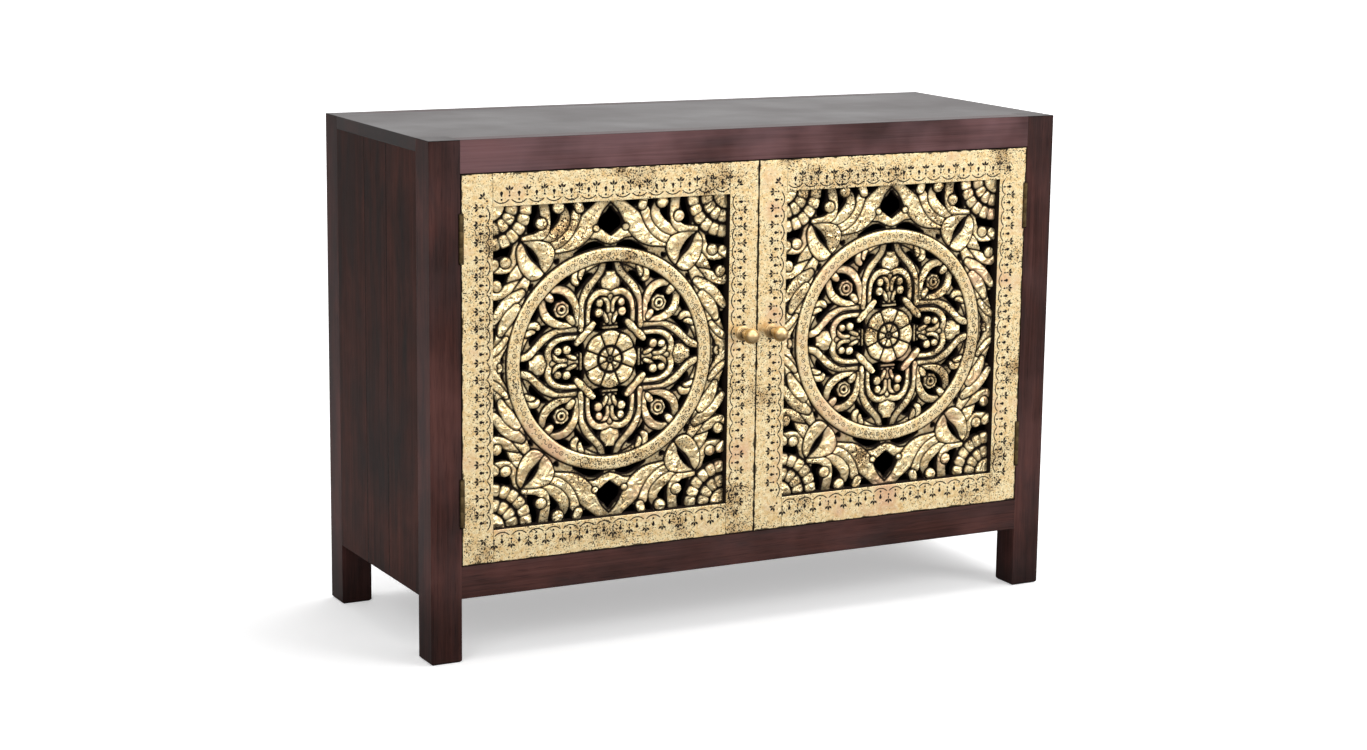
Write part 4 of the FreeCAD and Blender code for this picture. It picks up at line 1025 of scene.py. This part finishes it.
def knuckle(axis, foot, head):
    """A short tube round the pin, its ends eased."""
    flat_ring(24, BARREL_RADIUS, PIN_PLAY * PIN_RADIUS, (*axis, foot))
    bpy.ops.mesh.select_all(action="SELECT")
    bpy.ops.mesh.extrude_region_move(TRANSFORM_OT_translate={"value": (0, 0, head - foot)})
    closed()
    return rounded(EASED, 2)


def plate(low, high):
    """A flat leaf with eased edges."""
    bpy.ops.mesh.primitive_cube_add(size=1, location=(low + high) / 2, scale=high - low)
    bpy.ops.object.transform_apply()
    return rounded(EASED, 2)


def hinge_screw(place, inwards):
    """A countersunk wood screw along X with a slot across its head."""
    cones = []
    for thick, thin, start, length, sides in (
        (SCREW_HEAD, SCREW_SHANK, 0, LEAF_THICK, 20),
        (SCREW_SHANK, SCREW_SHANK / 2, LEAF_THICK, SCREW_LENGTH - LEAF_THICK, 12),
    ):
        bpy.ops.mesh.primitive_cone_add(
            vertices=sides, radius1=thick, radius2=thin, depth=length,
            location=place + Vector((inwards * (start + length / 2), 0, 0)),
            rotation=(0, math.pi / 2 * inwards, 0),
        )
        cones.append(bpy.context.object)
    bpy.ops.mesh.primitive_cube_add(
        size=1, location=place, scale=(2 * SLOT_DEEP, 3 * SCREW_HEAD, SLOT_WIDE),
    )
    slot = bpy.context.object
    cut = cones[0].modifiers.new("slot", "BOOLEAN")
    cut.object = slot
    cut.solver = "EXACT"
    bpy.context.view_layer.objects.active = cones[0]
    bpy.ops.object.modifier_apply(modifier=cut.name)
    bpy.data.objects.remove(slot)
    return joined(cones, "hinge_screw")


for side, outwards in (("left", -1), ("right", 1)):
    leaf_low, leaf_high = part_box(f"hinge_leaves_post_{side}")
    screw_low, screw_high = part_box(f"hinge_screws_post_{side}")
    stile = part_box(f"door_stile_hinge_{side}")
    face = stile[0].y
    door_edge = stile[outwards > 0].x
    axis = (door_edge + outwards * DOOR_GAP / 2, face)
    leaves, screws, pins = {"post": [], "door": []}, {"post": [], "door": []}, []
    for start in (leaf_low.z, leaf_high.z - HINGE_LONG):
        for place in range(KNUCKLES):
            foot = start + HINGE_LONG * place / KNUCKLES + KNUCKLE_GAP / 2
            head = start + HINGE_LONG * (place + 1) / KNUCKLES - KNUCKLE_GAP / 2
            leaves["door" if place % 2 else "post"].append(knuckle(axis, foot, head))
        for holder, edge, into in (
            ("post", door_edge + outwards * DOOR_GAP, outwards), ("door", door_edge, -outwards),
        ):
            near, far = sorted((edge, edge + into * LEAF_THICK))
            leaves[holder].append(plate(
                Vector((near, face + LEAF_BACK, start)), Vector((far, leaf_high.y, start + HINGE_LONG)),
            ))
            for level in (-SCREW_SPREAD, SCREW_SPREAD):
                head_place = (edge, (screw_low.y + screw_high.y) / 2, start + HINGE_LONG / 2 + level)
                screws[holder].append(hinge_screw(Vector(head_place), into))
        bpy.ops.mesh.primitive_cylinder_add(
            vertices=24, radius=PIN_RADIUS, depth=HINGE_LONG, location=(*axis, start + HINGE_LONG / 2),
        )
        pins.append(bpy.context.object)
        bpy.ops.mesh.primitive_cylinder_add(
            vertices=24, radius=BARREL_RADIUS, depth=BUTTON,
            location=(*axis, start + HINGE_LONG + BUTTON / 2),
        )
        bpy.ops.object.transform_apply()
        pins.append(rounded(BUTTON_DOME, 4))
    for parts, name, cad_name, body in (
        (leaves["post"], "hinge_post_leaves", "hinge_leaves_post", "case"),
        (leaves["door"], "hinge_door_leaves", "hinge_leaves_door", f"{side}_door"),
        (pins, "domed_hinge_pins", "hinge_pins", "case"),
        (screws["post"], "slotted_screws_post", "hinge_screws_post", "case"),
        (screws["door"], "slotted_screws_door", "hinge_screws_door", f"{side}_door"),
    ):
        piece = joined(parts, f"{name}_{side}")
        bpy.ops.object.shade_smooth_by_angle(angle=math.radians(35))
        piece.data.materials.append(hinge_brass)
        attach(piece, body)
        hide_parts(f"{cad_name}_{side}")

# What stays inside: zinc-plated strike plates and knob screws, brown moulded catches, and the board
# behind each carving, painted matte black by brush.
zinc = aged_metal("zinc_plated_steel", "A9ADB2", "7B7F84", 0.34, 120)


def painted(name, light, dark, rough, shine, stroke, brushed):
    """Paint or plastic: a little lighter and darker in patches, brushed along one axis."""
    paint, shader, coordinates = new_finish(name)
    scaled = node(paint, "Mapping", {"Vector": coordinates["Object"], "Scale": brushed})
    strokes = node(paint, "TexNoise", {"Vector": scaled, "Scale": 1 / stroke, "Detail": 4})
    shade = node(paint, "MapRange", (strokes, 0.35, 0.65))
    colour = node(paint, "Mix", (shade, linear(dark), linear(light)), data_type="RGBA")
    dull = node(paint, "MapRange", (strokes, 0.3, 0.7, rough, rough + 0.15))
    raised = node(paint, "Bump", {"Strength": 0.3, "Distance": 0.0003, "Height": strokes})
    fill(shader, {
        "Base Color": colour, "Roughness": dull, "Normal": raised, "Specular IOR Level": shine,
    })
    return paint


backing_paint = painted("matte_black_brushed_paint", "0B0A0A", "040404", 0.80, 0.15, 0.006, (1, 1, 0.05))
catch_plastic = painted("brown_moulded_plastic", "3B2A20", "2C1F18", 0.45, 0.5, 0.004, (1, 1, 1))
for side in ("left", "right"):
    for name, finish in (
        ("strike_plate", zinc), ("knob_screw", zinc),
        ("catch", catch_plastic), ("backing_board", backing_paint),
    ):
        dress(f"{name}_{side}", finish)

# The studio: a white floor and a white surround, a large soft lamp overhead and two softer ones in
# front. The camera stands to the left of the cabinet, a little above its top.
FLOOR_WHITE = "F2F2F2"
# The camera sees the floor glow this much near the cabinet, and fully far off.
GLOW_NEAR = 0.40
# What shiny faces mirror: the floor, painted darker near the cabinet than far off as painted shade that
# only reflections show, and the surround, bright low in front, brighter overhead and plain white behind.
MIRRORED_NEAR = 0.38
MIRRORED_FAR = 0.75
SURROUND_LOW = 2.1
SURROUND_HIGH = 3.6
# The surround's strength as a light.
SURROUND_DIM = 0.45
# The camera's place is in metres and its turn in degrees; focal length and aim are in pixels.
CAMERA_PLACE = (-2.0877, -3.9502, 1.2567)
CAMERA_TURN = (78.953, -0.972, -29.035)
FOCUS = 2761.15
PHOTO_WIDTH, PHOTO_HEIGHT = 1367, 750
AIM = (763.78, 368.10)

bpy.ops.object.select_all(action="DESELECT")
bpy.ops.mesh.primitive_plane_add(size=80)
floor = bpy.context.object
floor.name = "studio_floor"
paint, shader, coordinates = new_finish("studio_white")
rays = node(paint, "LightPath", ()).node.outputs
distance = node(paint, "VectorMath", (coordinates["Object"],), operation="LENGTH")
lifted = node(paint, "MapRange", (distance, 1.2, 6, GLOW_NEAR, 1))
glow = node(paint, "Math", (rays["Is Camera Ray"], lifted), operation="MULTIPLY")
mirrored = node(paint, "MapRange", (distance, 0.3, 1.2, MIRRORED_NEAR, MIRRORED_FAR))
colour = node(
    paint, "Mix", (rays["Is Glossy Ray"], linear(FLOOR_WHITE), mirrored), data_type="RGBA",
)
fill(shader, {
    "Base Color": colour, "Roughness": 0.9, "Emission Color": (1, 1, 1, 1), "Emission Strength": glow,
})
floor.data.materials.append(paint)

world = bpy.data.worlds.new("studio_surround")
bpy.context.scene.world = world
world.use_nodes = True
rays = node(world, "LightPath", ()).node.outputs
generated = node(world, "TexCoord", ()).node.outputs["Generated"]
towards = node(world, "SeparateXYZ", (generated,)).node.outputs
overhead = node(world, "MapRange", (towards["Z"], 0.25, 0.85, SURROUND_LOW, SURROUND_HIGH))
behind = node(world, "MapRange", (towards["Y"], -0.2, 0.3))
mirrored = node(world, "Mix", (behind, overhead, 1.0), data_type="FLOAT")
unseen = node(world, "Mix", (rays["Is Glossy Ray"], SURROUND_DIM, mirrored), data_type="FLOAT")
strength = node(world, "Mix", (rays["Is Camera Ray"], unseen, 1.0), data_type="FLOAT")
fill(world.node_tree.nodes["Background"], {"Color": (1, 1, 1, 1), "Strength": strength})

for name, place, width, watts in (
    ("lamp_overhead", (0.6, 0.3, 2.9), 2.4, 60),
    ("lamp_front_right", (2.6, -3.4, 2.2), 2.0, 70),
    ("lamp_front_left", (-2.8, -2.6, 2.6), 1.6, 30),
):
    lamp = bpy.data.objects.new(name, bpy.data.lights.new(name, "AREA"))
    bpy.context.scene.collection.objects.link(lamp)
    lamp.data.size = width
    lamp.data.energy = watts
    lamp.location = place
    lamp.rotation_euler = (Vector((0, 0, 0.4)) - Vector(place)).to_track_quat("-Z", "Y").to_euler()

camera = bpy.data.objects.new("camera", bpy.data.cameras.new("camera"))
bpy.context.scene.collection.objects.link(camera)
camera.location = CAMERA_PLACE
camera.rotation_euler = [math.radians(angle) for angle in CAMERA_TURN]
camera.data.sensor_width = 36
camera.data.lens = camera.data.sensor_width * FOCUS / PHOTO_WIDTH
camera.data.shift_x = (PHOTO_WIDTH / 2 - AIM[0]) / PHOTO_WIDTH
camera.data.shift_y = (AIM[1] - PHOTO_HEIGHT / 2) / PHOTO_WIDTH
bpy.context.scene.camera = camera
bpy.context.scene.view_settings.view_transform = "Standard"
